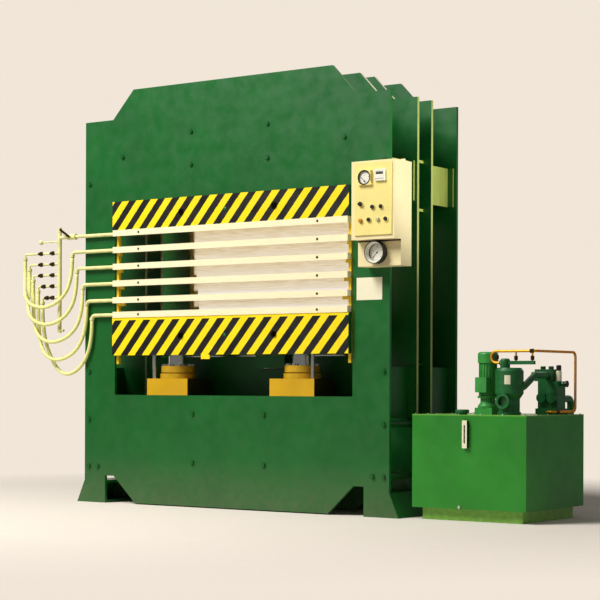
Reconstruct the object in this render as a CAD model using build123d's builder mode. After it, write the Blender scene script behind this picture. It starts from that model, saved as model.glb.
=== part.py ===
"""Multi-daylight plate-frame press with cooled platens, its control box and its power unit.

Millimetres. +X is to the right of someone facing the press, +Y runs to its back, +Z is up.
The origin lies on the floor, at the centre of the four anchor holes.
"""

from build123d import *
from math import tan, radians
import os

os.makedirs("parts", exist_ok=True)

# Frame plates
frame_width = 3400
frame_height = 3850
frame_depth = 1136
plate_t = 30
centre_gap = 202
foot_height = 210
keel_bottom = 10
keel_top = 255
keel_inset = 622
keel_step = 106
foot_width = 254
crown_inset = 588
shoulder_inset = 340
crown_drop = 263
column_width = 370
window_bottom = 1014
window_radius = 8

# Feet
foot_spread = 94
foot_plate_t = 25
anchor_inset = 80
anchor_r = 14

# Stiffeners and ties between the plates of a pair
web_inset = 80
web_t = 20
web_flange = 52
web_flange_t = 16
upper_web = (2698, 3040)
lower_web = (834, 1270)
crown_tie = (600, 300, 25)
crown_tie_drop = 50
seat_web_t = 40
screen_t = 8
screen_half = 1400
screen_lap = 64
screen_gap = 10
tie_d = 56
centre_ties = (3054, 2633, 1296)
centre_tie = (60, 24)
bolt_spots = [
    (55, 3005),
    (55, 1232),
    (55, 782),
    (55, 343),
    (165, 343),
    (462, 3233),
    (1272, 3410),
    (1272, 3111),
    (1300, 850),
    (1300, 405),
]
bolt_flats = 36
bolt_head = 16

# Press opening
beam_gap = 10
beam_height = 264
beam_proud = 50
beam_skin = 40
beam_cells = 5
platen_inset = 8
platen_t = 56
platen_proud = 56
daylight = 100
last_daylight = 80
bolster_height = 350
bolster_cells = 5
bolster_skin = 45
rib_size = (320, 460, 118)
rib_x = 220
tab_size = (97, 12, 39)
tab_x = -217

# Step racks
rack_size = 28
rack_y = 550
rack_tail = 79
notch_gap = 4
step_reach = 14
step_pitch = 16
step_room = 2
step_t = 24
rest_gap = 0.3

# Cylinders
cylinder_x = 698
cylinder_y = 405
seat_size = (475, 326, 152)
barrel_d = 240
barrel_bore = 190
barrel_bottom = 600
head_d = 330
head_t = 47
gland_d = 312
gland_waist_d = 272
gland_waist = 9
gland_t = 69
gland_gap = 0.4
gland_bolt_circle = 262
gland_bolt_count = 8
gland_bolt_flats = 30
gland_bolt_head = 17
ram_d = 180
ram_inside = 520
ram_show = 99
stop_rod_d = 34
stop_rod_x = 888
stop_rod_y = 520

# Water pipes
pipe_d = 34
pipe_y = -600
pipe_bend = 40
pipe_drop = 45
ferrule_d = 44
ferrule_t = 26
pipe_reaches = {2: 527, 3: 469, 4: 393, 5: 343, 6: 275}
header_reach = 688
header_d = 38
header_rise = 93
header_tail = 339
supply_drop = 35
valve_reach = 528
valve_body = (100, 56)
lever_size = (132, 22, 6)
lever_tilt = 32
stem_d = 16
stem_out = 16
branch_d = 22
union_d = 36
union_t = 24
union_lap = 6
union_places = (80, 230)
branch_drop = 40
knob_out = 242
knob_drop = 130
knob_d = 46
knob_stem_d = 14
header_foot = (55, 22)

# Hoses, each from its platen pipe to its branch
hose_d = 34
bend_share = 0.45
hose_routes = {
    2: [
        (-1839, -600, 2318),
        (-1839, -600, 2118),
        (-1930, -640, 1913),
        (-2130, -705, 1822),
        (-2330, -735, 1902),
        (-2452, -600, 2142),
        (-2452, -600, 2308),
    ],
    3: [
        (-1781, -600, 2162),
        (-1781, -600, 1955),
        (-1884, -630, 1750),
        (-2100, -685, 1658),
        (-2298, -735, 1752),
        (-2392, -600, 2035),
        (-2392, -600, 2203),
    ],
    4: [
        (-1705, -600, 2006),
        (-1705, -600, 1795),
        (-1818, -610, 1582),
        (-2055, -660, 1489),
        (-2246, -680, 1590),
        (-2345, -600, 1868),
        (-2345, -600, 2098),
    ],
    5: [
        (-1655, -600, 1850),
        (-1655, -600, 1635),
        (-1785, -603, 1410),
        (-2030, -622, 1320),
        (-2195, -645, 1421),
        (-2280, -600, 1745),
        (-2280, -600, 1992),
    ],
    6: [
        (-1587, -600, 1714),
        (-1587, -600, 1505),
        (-1705, -600, 1276),
        (-1932, -575, 1185),
        (-2115, -555, 1291),
        (-2221, -600, 1600),
        (-2221, -600, 1882),
    ],
}

# Control box
cabinet_width = 420
cabinet_height = 650
cabinet_bottom = 2315
cabinet_depth = 268
sheet = 3
door_margins = (35, 25, 35, 17)
door_depth = 12
door_lap = 15
door_gap = 0.4
hinge_d = 9
hinge_length = 60
hinge_inset = 120
hinge_gap = 1
lug_size = (40, 12, 30)
meter_spot = (-66, 509)
meter_size = 125
meter_depth = 22
dial_inset = 10
dial_depth = 12
pointer_t = 2
pointer_width = 4
meter_rest = 135
gauge_rest = 225
hub_d = 14
timer_spot = (82, 523)
timer_size = (95, 95, 18)
timer_window = (70, 30, 4)
selector_spot = (-110, 294)
button_spots = [(6, 265), (90, 265), (-29, 161), (135, 161)]
lamp_spots = [(-110, 155), (57, 161)]
collar_d = 46
collar_t = 7
cap_d = 34
cap_gap = 0.5
cap_t = 16
cap_round = 3
selector_d = 38
selector_t = 10
selector_bar = (12, 40, 16)
lamp_d = 36
lamp_t = 18
lamp_round = 8
gauge_box_height = 215
gauge_box_depth = 165
gauge_spot = (-15, 111)
gauge_case_d = 188
gauge_case_t = 24
gauge_body_d = 150
gauge_body_depth = 60
gauge_face_d = 146
gauge_face_depth = 14

# Power unit, its places measured from the tank's front left corner
tank_gap = 191
tank_width = 1062
tank_depth = 1039
tank_setback = 56
plinth_height = 101
plinth_inset = 65
plinth_t = 8
tank_top = 865
tank_t = 6
lid_t = 8
level_spot = 513
level_size = (46, 228, 30)
level_round = 6
level_bottom = 600
level_glass = (14, 150)
filler_spot = (423, 92)
filler_d = 116
filler_neck_d = 92
filler_neck = 14
filler_t = 28
filler_round = 8
motor_spot = (552, 294)
motor_base = (160, 160, 56)
motor_bell = (168, 14)
motor_neck = (124, 44, 78)
motor_flange = (172, 20)
motor_d = 140
fin_count = 20
fin_size = (12, 4)
motor_body_top = 1300
motor_top = 1391
cowl_d = 170
cowl_round = 24
vent_size = (36, 8, 3)
vent_count = 12
vent_circle = 90
terminal_box = (105, 50, 125)
terminal_round = 8
terminal_z = 1118
pump_spot = (789, 224)
pump_foot = (192, 24)
pump_waist = (172, 130)
pump_body = (232, 175, 360)
pump_shoulder = (196, 385)
pump_port = (125, 122, 112)
pump_bore = (84, 30)
fitting_x = -40
fitting_size = (82, 77)
fitting_round = 20
fitting_boss = (34, 52)
manifold_size = (30, 30)
manifold_end = 230
manifold_z = 1300
arch_d = 56
arch_bend = 45
arch_z = 1090
block_spot = (909, 744)
block_foot = (200, 200, 50)
block_size = (180, 150, 277)
valve_size = (156, 150, 100)
valve_shift = -42
cover_size = (84, 34)
cover_z = 1012
cover_spread = 92
plug_size = (44, 26)
plug_spread = 75
solenoid_size = (60, 60)
relief_tube = (48, 88)
relief_cap = (34, 47)
relief_z = 1128
relief_boss = (40, 25)
relief_stem = (26, 18)
relief_rim = (54, 14)
relief_gap = 0.4
copper_d = 22
copper_loop = 75
copper_top = 1395
copper_inset = (30, 100)
copper_front = 72
copper_side = 30
copper_branch_d = 16
copper_branches = (60, 210)
oil_pipe_d = 60
oil_branch_d = 48
oil_pipe_z = 530
oil_outlet_z = 1003
oil_bend = 42
oil_hole_gap = 4

# Places that follow from the sizes above
half_width = frame_width / 2
foot_inner = half_width - foot_width
keel_half = half_width - keel_inset
keel_shoulder = foot_inner - keel_step
crown_half = half_width - crown_inset
crown_shoulder = half_width - shoulder_inset
crown_bottom = frame_height - crown_drop
window_half = half_width - column_width
beam_half = window_half - beam_gap
platen_half = beam_half - platen_inset
anchor_x = half_width - anchor_inset
web_face = half_width - web_inset
bolt_places = [(half_width - inset, height) for inset, height in bolt_spots]
cell_depth = (frame_depth - centre_gap) / 2 - 2 * plate_t
plate_fronts = [
    -frame_depth / 2,
    -centre_gap / 2 - plate_t,
    centre_gap / 2,
    frame_depth / 2 - plate_t,
]
cell_middle = centre_gap / 2 + plate_t + cell_depth / 2
front = -frame_depth / 2
beam_depth = frame_depth + 2 * beam_proud
platen_depth = frame_depth + 2 * platen_proud

# Heights inside the window, from its lower edge up
seat_top = window_bottom + seat_size[2]
head_top = seat_top + head_t
gland_top = head_top + gland_t
bolster_bottom = gland_top + ram_show
bolster_top = bolster_bottom + bolster_height
platen_tops = [bolster_top + platen_t]
for gap in [last_daylight] + [daylight] * 4:
    platen_tops.insert(0, platen_tops[0] + gap + platen_t)
beam_bottom = platen_tops[0]
window_top = beam_bottom + beam_height
step_reaches = [rack_size + step_reach + step_pitch * step for step in range(4)]
notch_depths = [rack_size + notch_gap] * 2
for reach in step_reaches:
    notch_depths.append(reach + notch_gap + step_room)

# Places on the water side
supply_z = beam_bottom - supply_drop
valve_x = -platen_half - valve_reach
header_x = -platen_half - header_reach
header_top = supply_z + header_rise
knob_x = header_x - knob_out
knob_z = header_top - knob_drop

# Places on the control box
cabinet_left = half_width - cabinet_width / 2
cabinet_right = half_width + cabinet_width / 2
cabinet_top = cabinet_bottom + cabinet_height
cabinet_face = front - cabinet_depth
door_left = cabinet_left + door_margins[0]
door_right = cabinet_right - door_margins[1]
door_bottom = cabinet_bottom + door_margins[2]
door_top = cabinet_top - door_margins[3]
door_face = cabinet_face - door_depth
meter_place = (half_width + meter_spot[0], cabinet_bottom + meter_spot[1])
timer_place = (half_width + timer_spot[0], cabinet_bottom + timer_spot[1])
selector_place = (half_width + selector_spot[0], cabinet_bottom + selector_spot[1])
button_places = [(half_width + x, cabinet_bottom + z) for x, z in button_spots]
lamp_places = [(half_width + x, cabinet_bottom + z) for x, z in lamp_spots]
gauge_box_bottom = cabinet_bottom - gauge_box_height
gauge_box_face = front - gauge_box_depth
gauge_place = (half_width + gauge_spot[0], gauge_box_bottom + gauge_spot[1])

# Places on the power unit
tank_left = half_width + tank_gap
tank_right = tank_left + tank_width
tank_front = front + tank_setback
tank_back = tank_front + tank_depth
tank_middle = ((tank_left + tank_right) / 2, (tank_front + tank_back) / 2)
lid_top = tank_top + lid_t
filler_place = (tank_left + filler_spot[0], tank_front + filler_spot[1])
motor_place = (tank_left + motor_spot[0], tank_front + motor_spot[1])
pump_place = (tank_left + pump_spot[0], tank_front + pump_spot[1])
block_place = (tank_left + block_spot[0], tank_front + block_spot[1])
block_top = lid_top + block_size[2]
block_right = block_place[0] + block_size[0] / 2
pump_top = lid_top + pump_shoulder[1]


def facing(y):
    """The upright plane at depth y, seen from the front."""
    return Plane.XZ.offset(-y)


def sideways(x):
    """The upright plane at x, seen from the right end."""
    return Plane.YZ.offset(x)


def level(z):
    """The horizontal plane at height z."""
    return Plane.XY.offset(z)


def write(block, name):
    """Label a finished piece and write its file."""
    block.part.label = name
    export_step(block.part, f"parts/{name}.step")


def bent_bar(points, bends, diameter):
    """A round bar along straight runs joined by tangent arcs."""
    with BuildPart() as bar:
        with BuildLine() as path:
            FilletPolyline(*points, radius=bends)
        with BuildSketch(Plane(origin=path.line @ 0, z_dir=path.line % 0)):
            Circle(diameter / 2)
        sweep(path=path.line)
    return bar.part


def turned(outline, place):
    """A round piece about an upright axis at a place, from its half outline."""
    x, y = place
    with BuildPart() as piece:
        with BuildSketch(Plane((x, y, 0), x_dir=(1, 0, 0), z_dir=(0, -1, 0))):
            Polygon(*outline, align=None)
        revolve(axis=Axis((x, y, 0), (0, 0, 1)))
    return piece.part


def mouth(number):
    """The open end of a platen's pipe, where its hose starts."""
    end_x = -platen_half - pipe_reaches[number]
    return Vector(end_x, pipe_y, platen_tops[number - 1] - platen_t / 2 - pipe_drop)


def carried(number):
    """A hose's route, carried along when the mouth of its platen pipe moves."""
    route = [Vector(*point) for point in hose_routes[number]]
    return [point + mouth(number) - route[0] for point in route]


def hose_bends(corners):
    """Bend radii as large as the two runs beside each point allow."""
    radii = []
    for before, here, after in zip(corners, corners[1:], corners[2:]):
        run_in = here - before
        run_out = after - here
        turn = run_in.get_angle(run_out)
        shorter = min(run_in.length, run_out.length)
        radii.append(bend_share * shorter / tan(radians(turn / 2)))
    return radii


# Frame plates, front to back
for number, plate_front in enumerate(plate_fronts, start=1):
    with BuildPart() as frame_plate:
        with BuildSketch(facing(plate_front + plate_t)):
            with BuildLine():
                Polyline(
                    (0, keel_bottom),
                    (keel_half, keel_bottom),
                    (keel_shoulder, keel_top),
                    (foot_inner, keel_top),
                    (foot_inner, foot_height),
                    (half_width, foot_height),
                    (half_width, crown_bottom),
                    (crown_shoulder, crown_bottom),
                    (crown_half, frame_height),
                    (0, frame_height),
                )
                mirror(about=Plane.YZ)
            make_face()
            with Locations((0, (window_top + window_bottom) / 2)):
                RectangleRounded(
                    2 * window_half,
                    window_top - window_bottom,
                    window_radius,
                    mode=Mode.SUBTRACT,
                )
            if number in (2, 3):
                with Locations((0, oil_pipe_z)):
                    Circle(oil_branch_d / 2 + oil_hole_gap, mode=Mode.SUBTRACT)
        extrude(amount=plate_t)
    write(frame_plate, f"frame_plate_{number}")

# Feet: open welded shoes, each with a base plate, two cheeks, a top and a sloping end
foot_depth = cell_depth + 2 * plate_t
foot_outline = [
    (foot_inner, 0),
    (half_width + foot_spread, 0),
    (half_width, foot_height),
    (foot_inner, foot_height),
]
with BuildPart() as feet:
    with BuildSketch(facing(cell_middle + foot_depth / 2)):
        Polygon(*foot_outline, align=None)
    extrude(amount=foot_depth)
    with BuildSketch(facing(cell_middle + foot_depth / 2 - plate_t)):
        with BuildLine():
            Polyline(
                (foot_inner, foot_plate_t),
                (half_width + foot_spread - 2 * foot_plate_t, foot_plate_t),
                (half_width - foot_plate_t, foot_height - foot_plate_t),
                (foot_inner, foot_height - foot_plate_t),
                close=True,
            )
        make_face()
    extrude(amount=foot_depth - 2 * plate_t, mode=Mode.SUBTRACT)
    with BuildSketch(level(0)):
        with Locations((anchor_x, cell_middle)):
            Circle(anchor_r)
    extrude(amount=foot_plate_t, mode=Mode.SUBTRACT)
    mirror(about=Plane.YZ)
    mirror(about=Plane.XZ)
write(feet, "feet")

# Webs: channels in the columns, crown ties, cross webs under the cylinders, and the
# screens behind the second plate that shut off the rear cylinders
rib_edges = (rib_x - rib_size[0] / 2 - screen_gap, rib_x + rib_size[0] / 2 + screen_gap)
screen_bottom = window_bottom - screen_lap
screens = [
    (-screen_half, rib_edges[0], bolster_bottom - screen_gap),
    (rib_edges[0] + rest_gap, rib_edges[1] - rest_gap, bolster_bottom - rib_size[2] - screen_gap),
    (rib_edges[1], screen_half, bolster_bottom - screen_gap),
]
with BuildPart() as web_plates:
    for web_low, web_high in (upper_web, lower_web):
        with BuildSketch(level(web_low)):
            with Locations((web_face - web_t / 2, cell_middle)):
                Rectangle(web_t, cell_depth)
            for side in (-1, 1):
                flange_y = cell_middle + side * (cell_depth - web_flange_t) / 2
                with Locations((web_face + web_flange / 2, flange_y)):
                    Rectangle(web_flange, web_flange_t)
        extrude(amount=web_high - web_low)
    with BuildSketch(level(frame_height - crown_tie_drop)):
        with Locations((crown_tie[0], cell_middle)):
            Rectangle(crown_tie[1], cell_depth)
    extrude(amount=crown_tie[2])
    with BuildSketch(level(window_bottom - seat_web_t)):
        with Locations((cylinder_x, cell_middle)):
            Rectangle(seat_size[0], cell_depth)
        with Locations((cylinder_x, cylinder_y)):
            Circle(barrel_d / 2 + gland_gap, mode=Mode.SUBTRACT)
    extrude(amount=seat_web_t)
    mirror(about=Plane.YZ)
    mirror(about=Plane.XZ)
    with BuildSketch(facing(-centre_gap / 2 + screen_t)):
        for left, right, top in screens:
            with Locations(((left + right) / 2, (screen_bottom + top) / 2)):
                Rectangle(right - left, top - screen_bottom)
    extrude(amount=screen_t)
write(web_plates, "web_plates")

# Tie bars between the plates of a pair behind each bolt, and flat ties between the pairs
bar_places = []
for x, height in bolt_places:
    in_upper_web = upper_web[0] < height < upper_web[1]
    in_lower_web = lower_web[0] < height < lower_web[1]
    if x < web_face or not (in_upper_web or in_lower_web):
        bar_places.append((x, height))
with BuildPart() as frame_spacers:
    with BuildSketch(facing(cell_middle + cell_depth / 2)):
        with Locations(*bar_places):
            Circle(tie_d / 2)
    extrude(amount=cell_depth)
    mirror(about=Plane.XZ)
    with BuildSketch(facing(centre_gap / 2)):
        for height in centre_ties:
            with Locations((web_face - centre_tie[0] / 2, height)):
                Rectangle(*centre_tie)
    extrude(amount=centre_gap)
    mirror(about=Plane.YZ)
write(frame_spacers, "frame_spacers")

# Hex heads of the frame bolts, on the front and back faces
with BuildPart() as frame_bolts:
    with BuildSketch(facing(front)):
        with Locations(*bolt_places):
            RegularPolygon(bolt_flats / 2, 6, major_radius=False)
    extrude(amount=bolt_head)
    mirror(about=Plane.YZ)
    mirror(about=Plane.XZ)
write(frame_bolts, "frame_bolts")

# Upper fixed beam, welded of plates with cells open at both ends
with BuildPart() as upper_beam:
    with BuildSketch(sideways(-beam_half)):
        with Locations((0, (beam_bottom + window_top) / 2)):
            Rectangle(beam_depth, beam_height)
            cell_width = (beam_depth - (beam_cells + 1) * beam_skin) / beam_cells
            with GridLocations(cell_width + beam_skin, 1, beam_cells, 1):
                Rectangle(cell_width, beam_height - 2 * beam_skin, mode=Mode.SUBTRACT)
    extrude(amount=2 * beam_half)
write(upper_beam, "upper_beam")

# Platens, top to bottom, with end notches that clear the racks above their own steps
for number, (top, notch) in enumerate(zip(platen_tops, notch_depths), start=1):
    with BuildPart() as platen:
        with BuildSketch(level(top - platen_t)):
            Rectangle(2 * platen_half, platen_depth)
            with GridLocations(2 * platen_half - notch, 2 * rack_y, 2, 2):
                Rectangle(notch, rack_size + 2 * notch_gap, mode=Mode.SUBTRACT)
        extrude(amount=platen_t)
    write(platen, f"platen_{number}")

# Moving bolster, with a guide rib and a tab below, open cells and the deepest notches
bolster_notch = notch_depths[-1] + notch_gap + beam_half - platen_half
with BuildPart() as bolster:
    with BuildSketch(sideways(-beam_half)):
        with Locations((0, (bolster_bottom + bolster_top) / 2)):
            Rectangle(beam_depth, bolster_height)
            cell_width = (beam_depth - (bolster_cells + 1) * bolster_skin) / bolster_cells
            with GridLocations(cell_width + bolster_skin, 1, bolster_cells, 1):
                Rectangle(cell_width, bolster_height - 2 * bolster_skin, mode=Mode.SUBTRACT)
    extrude(amount=2 * beam_half)
    with BuildSketch(level(bolster_bottom - rib_size[2])):
        with Locations((rib_x, 0)):
            Rectangle(rib_size[0], rib_size[1])
    extrude(amount=rib_size[2])
    with BuildSketch(level(bolster_bottom - tab_size[2])):
        with Locations((tab_x, (tab_size[1] - beam_depth) / 2)):
            Rectangle(tab_size[0], tab_size[1])
    extrude(amount=tab_size[2])
    with BuildSketch(level(bolster_bottom)):
        with GridLocations(2 * beam_half - bolster_notch, 2 * rack_y, 2, 2):
            Rectangle(bolster_notch, rack_size + 2 * notch_gap)
    extrude(amount=bolster_height, mode=Mode.SUBTRACT)
write(bolster, "bolster")

# Step racks: a bar with four steps, longer from top to bottom, under platens 2 to 5
rack_bottom = bolster_bottom - rack_tail
with BuildPart() as step_racks:
    with BuildSketch(facing(rack_y + rack_size / 2)):
        with Locations((platen_half - rack_size / 2, (beam_bottom + rack_bottom) / 2)):
            Rectangle(rack_size, beam_bottom - rack_bottom)
        for top, reach in zip(platen_tops[1:5], step_reaches):
            seat = top - platen_t - rest_gap
            with Locations((platen_half - reach / 2, seat - step_t / 2)):
                Rectangle(reach, step_t)
    extrude(amount=rack_size)
    mirror(about=Plane.YZ)
    mirror(about=Plane.XZ)
write(step_racks, "step_racks")

# Cylinder seat blocks on the window's lower edge and the cross webs
with BuildPart() as cylinder_seats:
    with BuildSketch(level(window_bottom)):
        with GridLocations(2 * cylinder_x, 2 * cylinder_y, 2, 2):
            Rectangle(seat_size[0], seat_size[1])
            Circle(barrel_d / 2 + gland_gap, mode=Mode.SUBTRACT)
    extrude(amount=seat_size[2])
write(cylinder_seats, "cylinder_seats")

# Cylinder barrels, turned with their head flange, closed at the bottom
floor_t = (barrel_d - barrel_bore) / 2
with BuildPart() as cylinder_barrels:
    with BuildSketch(Plane.XZ):
        with BuildLine():
            Polyline(
                (0, barrel_bottom),
                (barrel_d / 2, barrel_bottom),
                (barrel_d / 2, seat_top),
                (head_d / 2, seat_top),
                (head_d / 2, head_top),
                (barrel_bore / 2, head_top),
                (barrel_bore / 2, barrel_bottom + floor_t),
                (0, barrel_bottom + floor_t),
                close=True,
            )
        make_face()
    revolve(axis=Axis.Z)
barrel = cylinder_barrels.part
with BuildPart() as cylinder_barrels:
    with GridLocations(2 * cylinder_x, 2 * cylinder_y, 2, 2):
        add(barrel)
write(cylinder_barrels, "cylinder_barrels")

# Gland rings with a narrow waist where they meet the head flange
with BuildPart() as gland_rings:
    with BuildSketch(level(head_top)):
        with GridLocations(2 * cylinder_x, 2 * cylinder_y, 2, 2):
            Circle(gland_waist_d / 2)
    extrude(amount=gland_waist)
    with BuildSketch(level(head_top + gland_waist)):
        with GridLocations(2 * cylinder_x, 2 * cylinder_y, 2, 2):
            Circle(gland_d / 2)
    extrude(amount=gland_t - gland_waist)
    with BuildSketch(level(head_top)):
        with GridLocations(2 * cylinder_x, 2 * cylinder_y, 2, 2):
            Circle(ram_d / 2 + gland_gap)
    extrude(amount=gland_t, mode=Mode.SUBTRACT)
write(gland_rings, "gland_rings")

# Hex heads round each gland ring
with BuildPart() as gland_bolts:
    with BuildSketch(level(gland_top)):
        with GridLocations(2 * cylinder_x, 2 * cylinder_y, 2, 2):
            with PolarLocations(gland_bolt_circle / 2, gland_bolt_count):
                RegularPolygon(gland_bolt_flats / 2, 6, major_radius=False)
    extrude(amount=gland_bolt_head)
write(gland_bolts, "gland_bolts")

# Rams, standing under the bolster
with BuildPart() as rams:
    with BuildSketch(level(gland_top - ram_inside)):
        with GridLocations(2 * cylinder_x, 2 * cylinder_y, 2, 2):
            Circle(ram_d / 2)
    extrude(amount=ram_show + ram_inside)
write(rams, "rams")

# Stop rods on the seat blocks
with BuildPart() as stop_rods:
    with BuildSketch(level(seat_top)):
        with GridLocations(2 * stop_rod_x, 2 * stop_rod_y, 2, 2):
            Circle(stop_rod_d / 2)
    extrude(amount=bolster_bottom - seat_top - rest_gap)
write(stop_rods, "stop_rods")

# Rigid supply pipe from platen 1 through the valve body to the header
with BuildPart() as supply_pipe:
    with BuildSketch(sideways(-platen_half)):
        with Locations((pipe_y, supply_z)):
            Circle(pipe_d / 2)
    extrude(amount=header_x + header_d / 2 + platen_half)
    with BuildSketch(sideways(valve_x - valve_body[0] / 2)):
        with Locations((pipe_y, supply_z)):
            Circle(valve_body[1] / 2)
    extrude(amount=valve_body[0])
    with BuildSketch(facing(pipe_y)):
        with Locations((valve_x, supply_z)):
            Circle(stem_d / 2)
    extrude(amount=valve_body[1] / 2 + stem_out)
write(supply_pipe, "supply_pipe")

# Valve lever, turning on the stem
lever_y = pipe_y - valve_body[1] / 2 - stem_out
with BuildPart() as valve_lever:
    with BuildSketch(facing(lever_y - rest_gap)):
        with Locations((valve_x, supply_z)):
            Circle(lever_size[1] / 2)
            with Locations(Location((0, 0), 180 - lever_tilt)):
                with Locations((lever_size[0] / 2, 0)):
                    SlotOverall(lever_size[0] + lever_size[1], lever_size[1])
    extrude(amount=lever_size[2])
write(valve_lever, "valve_lever")

# Platen pipes with a down-turned elbow and a ferrule
for number in pipe_reaches:
    end_x = mouth(number).X
    pipe_z = mouth(number).Z + pipe_drop
    run = [
        (-platen_half, pipe_y, pipe_z),
        (end_x, pipe_y, pipe_z),
        (end_x, pipe_y, pipe_z - pipe_drop),
    ]
    bent = bent_bar(run, pipe_bend, pipe_d)
    with BuildPart() as platen_pipe:
        add(bent)
        with BuildSketch(level(mouth(number).Z)):
            with Locations((end_x, pipe_y)):
                Circle(ferrule_d / 2)
        extrude(amount=ferrule_t)
    write(platen_pipe, f"platen_pipe_{number}")

# Header pipe with its branches, unions, foot stub and vent knob
branches = []
branch_points = []
for number in hose_routes:
    hose_end = carried(number)[-1]
    height = hose_end.Z + union_t - union_lap + branch_drop
    branch_points.append((hose_end, height))
    run = [
        (header_x, pipe_y, height),
        (hose_end.X, pipe_y, height),
        (hose_end.X, pipe_y, height - branch_drop),
    ]
    branches.append(bent_bar(run, pipe_bend / 2, branch_d))
header_bottom = branch_points[-1][1] - header_tail
with BuildPart() as header:
    with BuildSketch(level(header_bottom)):
        with Locations((header_x, pipe_y)):
            Circle(header_d / 2)
    extrude(amount=header_top - header_bottom)
    add(branches)
    for hose_end, height in branch_points:
        for place in union_places:
            if header_x - place - union_t > hose_end.X + pipe_bend:
                with BuildSketch(sideways(header_x - place)):
                    with Locations((pipe_y, height)):
                        RegularPolygon(union_d / 2, 6)
                extrude(amount=-union_t)
        with BuildSketch(level(hose_end.Z)):
            with Locations((hose_end.X, pipe_y)):
                Circle(ferrule_d / 2)
        extrude(amount=union_t)
    with BuildSketch(sideways(header_x)):
        with Locations((pipe_y, knob_z)):
            Circle(knob_stem_d / 2)
    extrude(amount=knob_x - header_x)
    with Locations((knob_x, pipe_y, knob_z)):
        Sphere(knob_d / 2)
    with BuildSketch(sideways(header_x)):
        with Locations((pipe_y, header_bottom + header_foot[1])):
            Circle(header_foot[1] / 2)
    extrude(amount=header_foot[0])
write(header, "header")

# Hoses
for number in hose_routes:
    route = carried(number)
    tube = bent_bar(route, hose_bends(route), hose_d)
    with BuildPart() as hose:
        add(tube)
    write(hose, f"hose_{number - 1}")

# Cabinet: a sheet box on the front of the right column, open where the door covers it
cabinet_middle = (cabinet_left + cabinet_right) / 2
door_middle = ((door_left + door_right) / 2, (door_bottom + door_top) / 2)
door_width = door_right - door_left
door_height = door_top - door_bottom
hinge_x = door_left - hinge_d / 2 - hinge_gap
hinge_y = cabinet_face - hinge_d / 2
with BuildPart() as cabinet:
    with BuildSketch(facing(front)):
        with Locations((cabinet_middle, (cabinet_bottom + cabinet_top) / 2)):
            Rectangle(cabinet_width, cabinet_height)
    extrude(amount=cabinet_depth)
    with BuildSketch(facing(front - sheet)):
        with Locations((cabinet_middle, (cabinet_bottom + cabinet_top) / 2)):
            Rectangle(cabinet_width - 2 * sheet, cabinet_height - 2 * sheet)
    extrude(amount=cabinet_depth - 2 * sheet, mode=Mode.SUBTRACT)
    with BuildSketch(facing(cabinet_face + sheet)):
        with Locations(door_middle):
            Rectangle(door_width - 2 * door_lap, door_height - 2 * door_lap)
    extrude(amount=sheet, mode=Mode.SUBTRACT)
    for end in (-1, 1):
        hinge_z = door_middle[1] + end * (door_height / 2 - hinge_inset)
        with BuildSketch(level(hinge_z - hinge_length / 2)):
            with Locations((hinge_x, hinge_y)):
                Circle(hinge_d / 2)
            with Locations((hinge_x, cabinet_face - hinge_d / 4)):
                Rectangle(hinge_d, hinge_d / 2)
        extrude(amount=hinge_length)
    for end in (-1, 1):
        lug_x = cabinet_middle + end * (cabinet_width / 2 - 2 * lug_size[0])
        with BuildSketch(level(cabinet_top)):
            with Locations((lug_x, front - lug_size[1] / 2)):
                Rectangle(lug_size[0], lug_size[1])
        extrude(amount=lug_size[2])
write(cabinet, "cabinet")

# Door: a shallow pan with holes for the buttons and raised collars round them
control_places = button_places + [selector_place]
with BuildPart() as cabinet_door:
    with BuildSketch(facing(cabinet_face - door_gap)):
        with Locations(door_middle):
            Rectangle(door_width, door_height)
    extrude(amount=door_depth - door_gap)
    with BuildSketch(facing(cabinet_face - door_gap)):
        with Locations(door_middle):
            Rectangle(door_width - 2 * sheet, door_height - 2 * sheet)
    extrude(amount=door_depth - door_gap - sheet, mode=Mode.SUBTRACT)
    with BuildSketch(facing(door_face)):
        with Locations(*control_places):
            Circle(collar_d / 2)
    extrude(amount=collar_t)
    with BuildSketch(facing(door_face + sheet)):
        with Locations(*control_places):
            Circle(cap_d / 2 + cap_gap)
    extrude(amount=collar_t + sheet, mode=Mode.SUBTRACT)
write(cabinet_door, "cabinet_door")

# Panel meter with a sunk dial, and its pointer
with BuildPart() as meter:
    with BuildSketch(facing(door_face)):
        with Locations(meter_place):
            Rectangle(meter_size, meter_size)
    extrude(amount=meter_depth)
    with BuildSketch(facing(door_face - meter_depth)):
        with Locations(meter_place):
            Rectangle(meter_size - 2 * dial_inset, meter_size - 2 * dial_inset)
    extrude(amount=-dial_depth, mode=Mode.SUBTRACT)
write(meter, "meter")
meter_pivot = (meter_place[0], meter_place[1] - meter_size / 4)
dial_face = door_face - meter_depth + dial_depth
with BuildPart() as meter_pointer:
    with BuildSketch(facing(dial_face - rest_gap)):
        with Locations(meter_pivot):
            Circle(hub_d / 2)
            with Locations(Location((0, 0), meter_rest)):
                with Locations((meter_size / 4, 0)):
                    Rectangle(meter_size / 2, pointer_width)
    extrude(amount=pointer_t)
write(meter_pointer, "meter_pointer")

# Timer
with BuildPart() as timer:
    with BuildSketch(facing(door_face)):
        with Locations(timer_place):
            Rectangle(timer_size[0], timer_size[1])
    extrude(amount=timer_size[2])
    with BuildSketch(facing(door_face - timer_size[2])):
        with Locations((timer_place[0], timer_place[1] + timer_window[1] / 2)):
            Rectangle(timer_window[0], timer_window[1])
    extrude(amount=-timer_window[2], mode=Mode.SUBTRACT)
write(timer, "timer")

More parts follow.
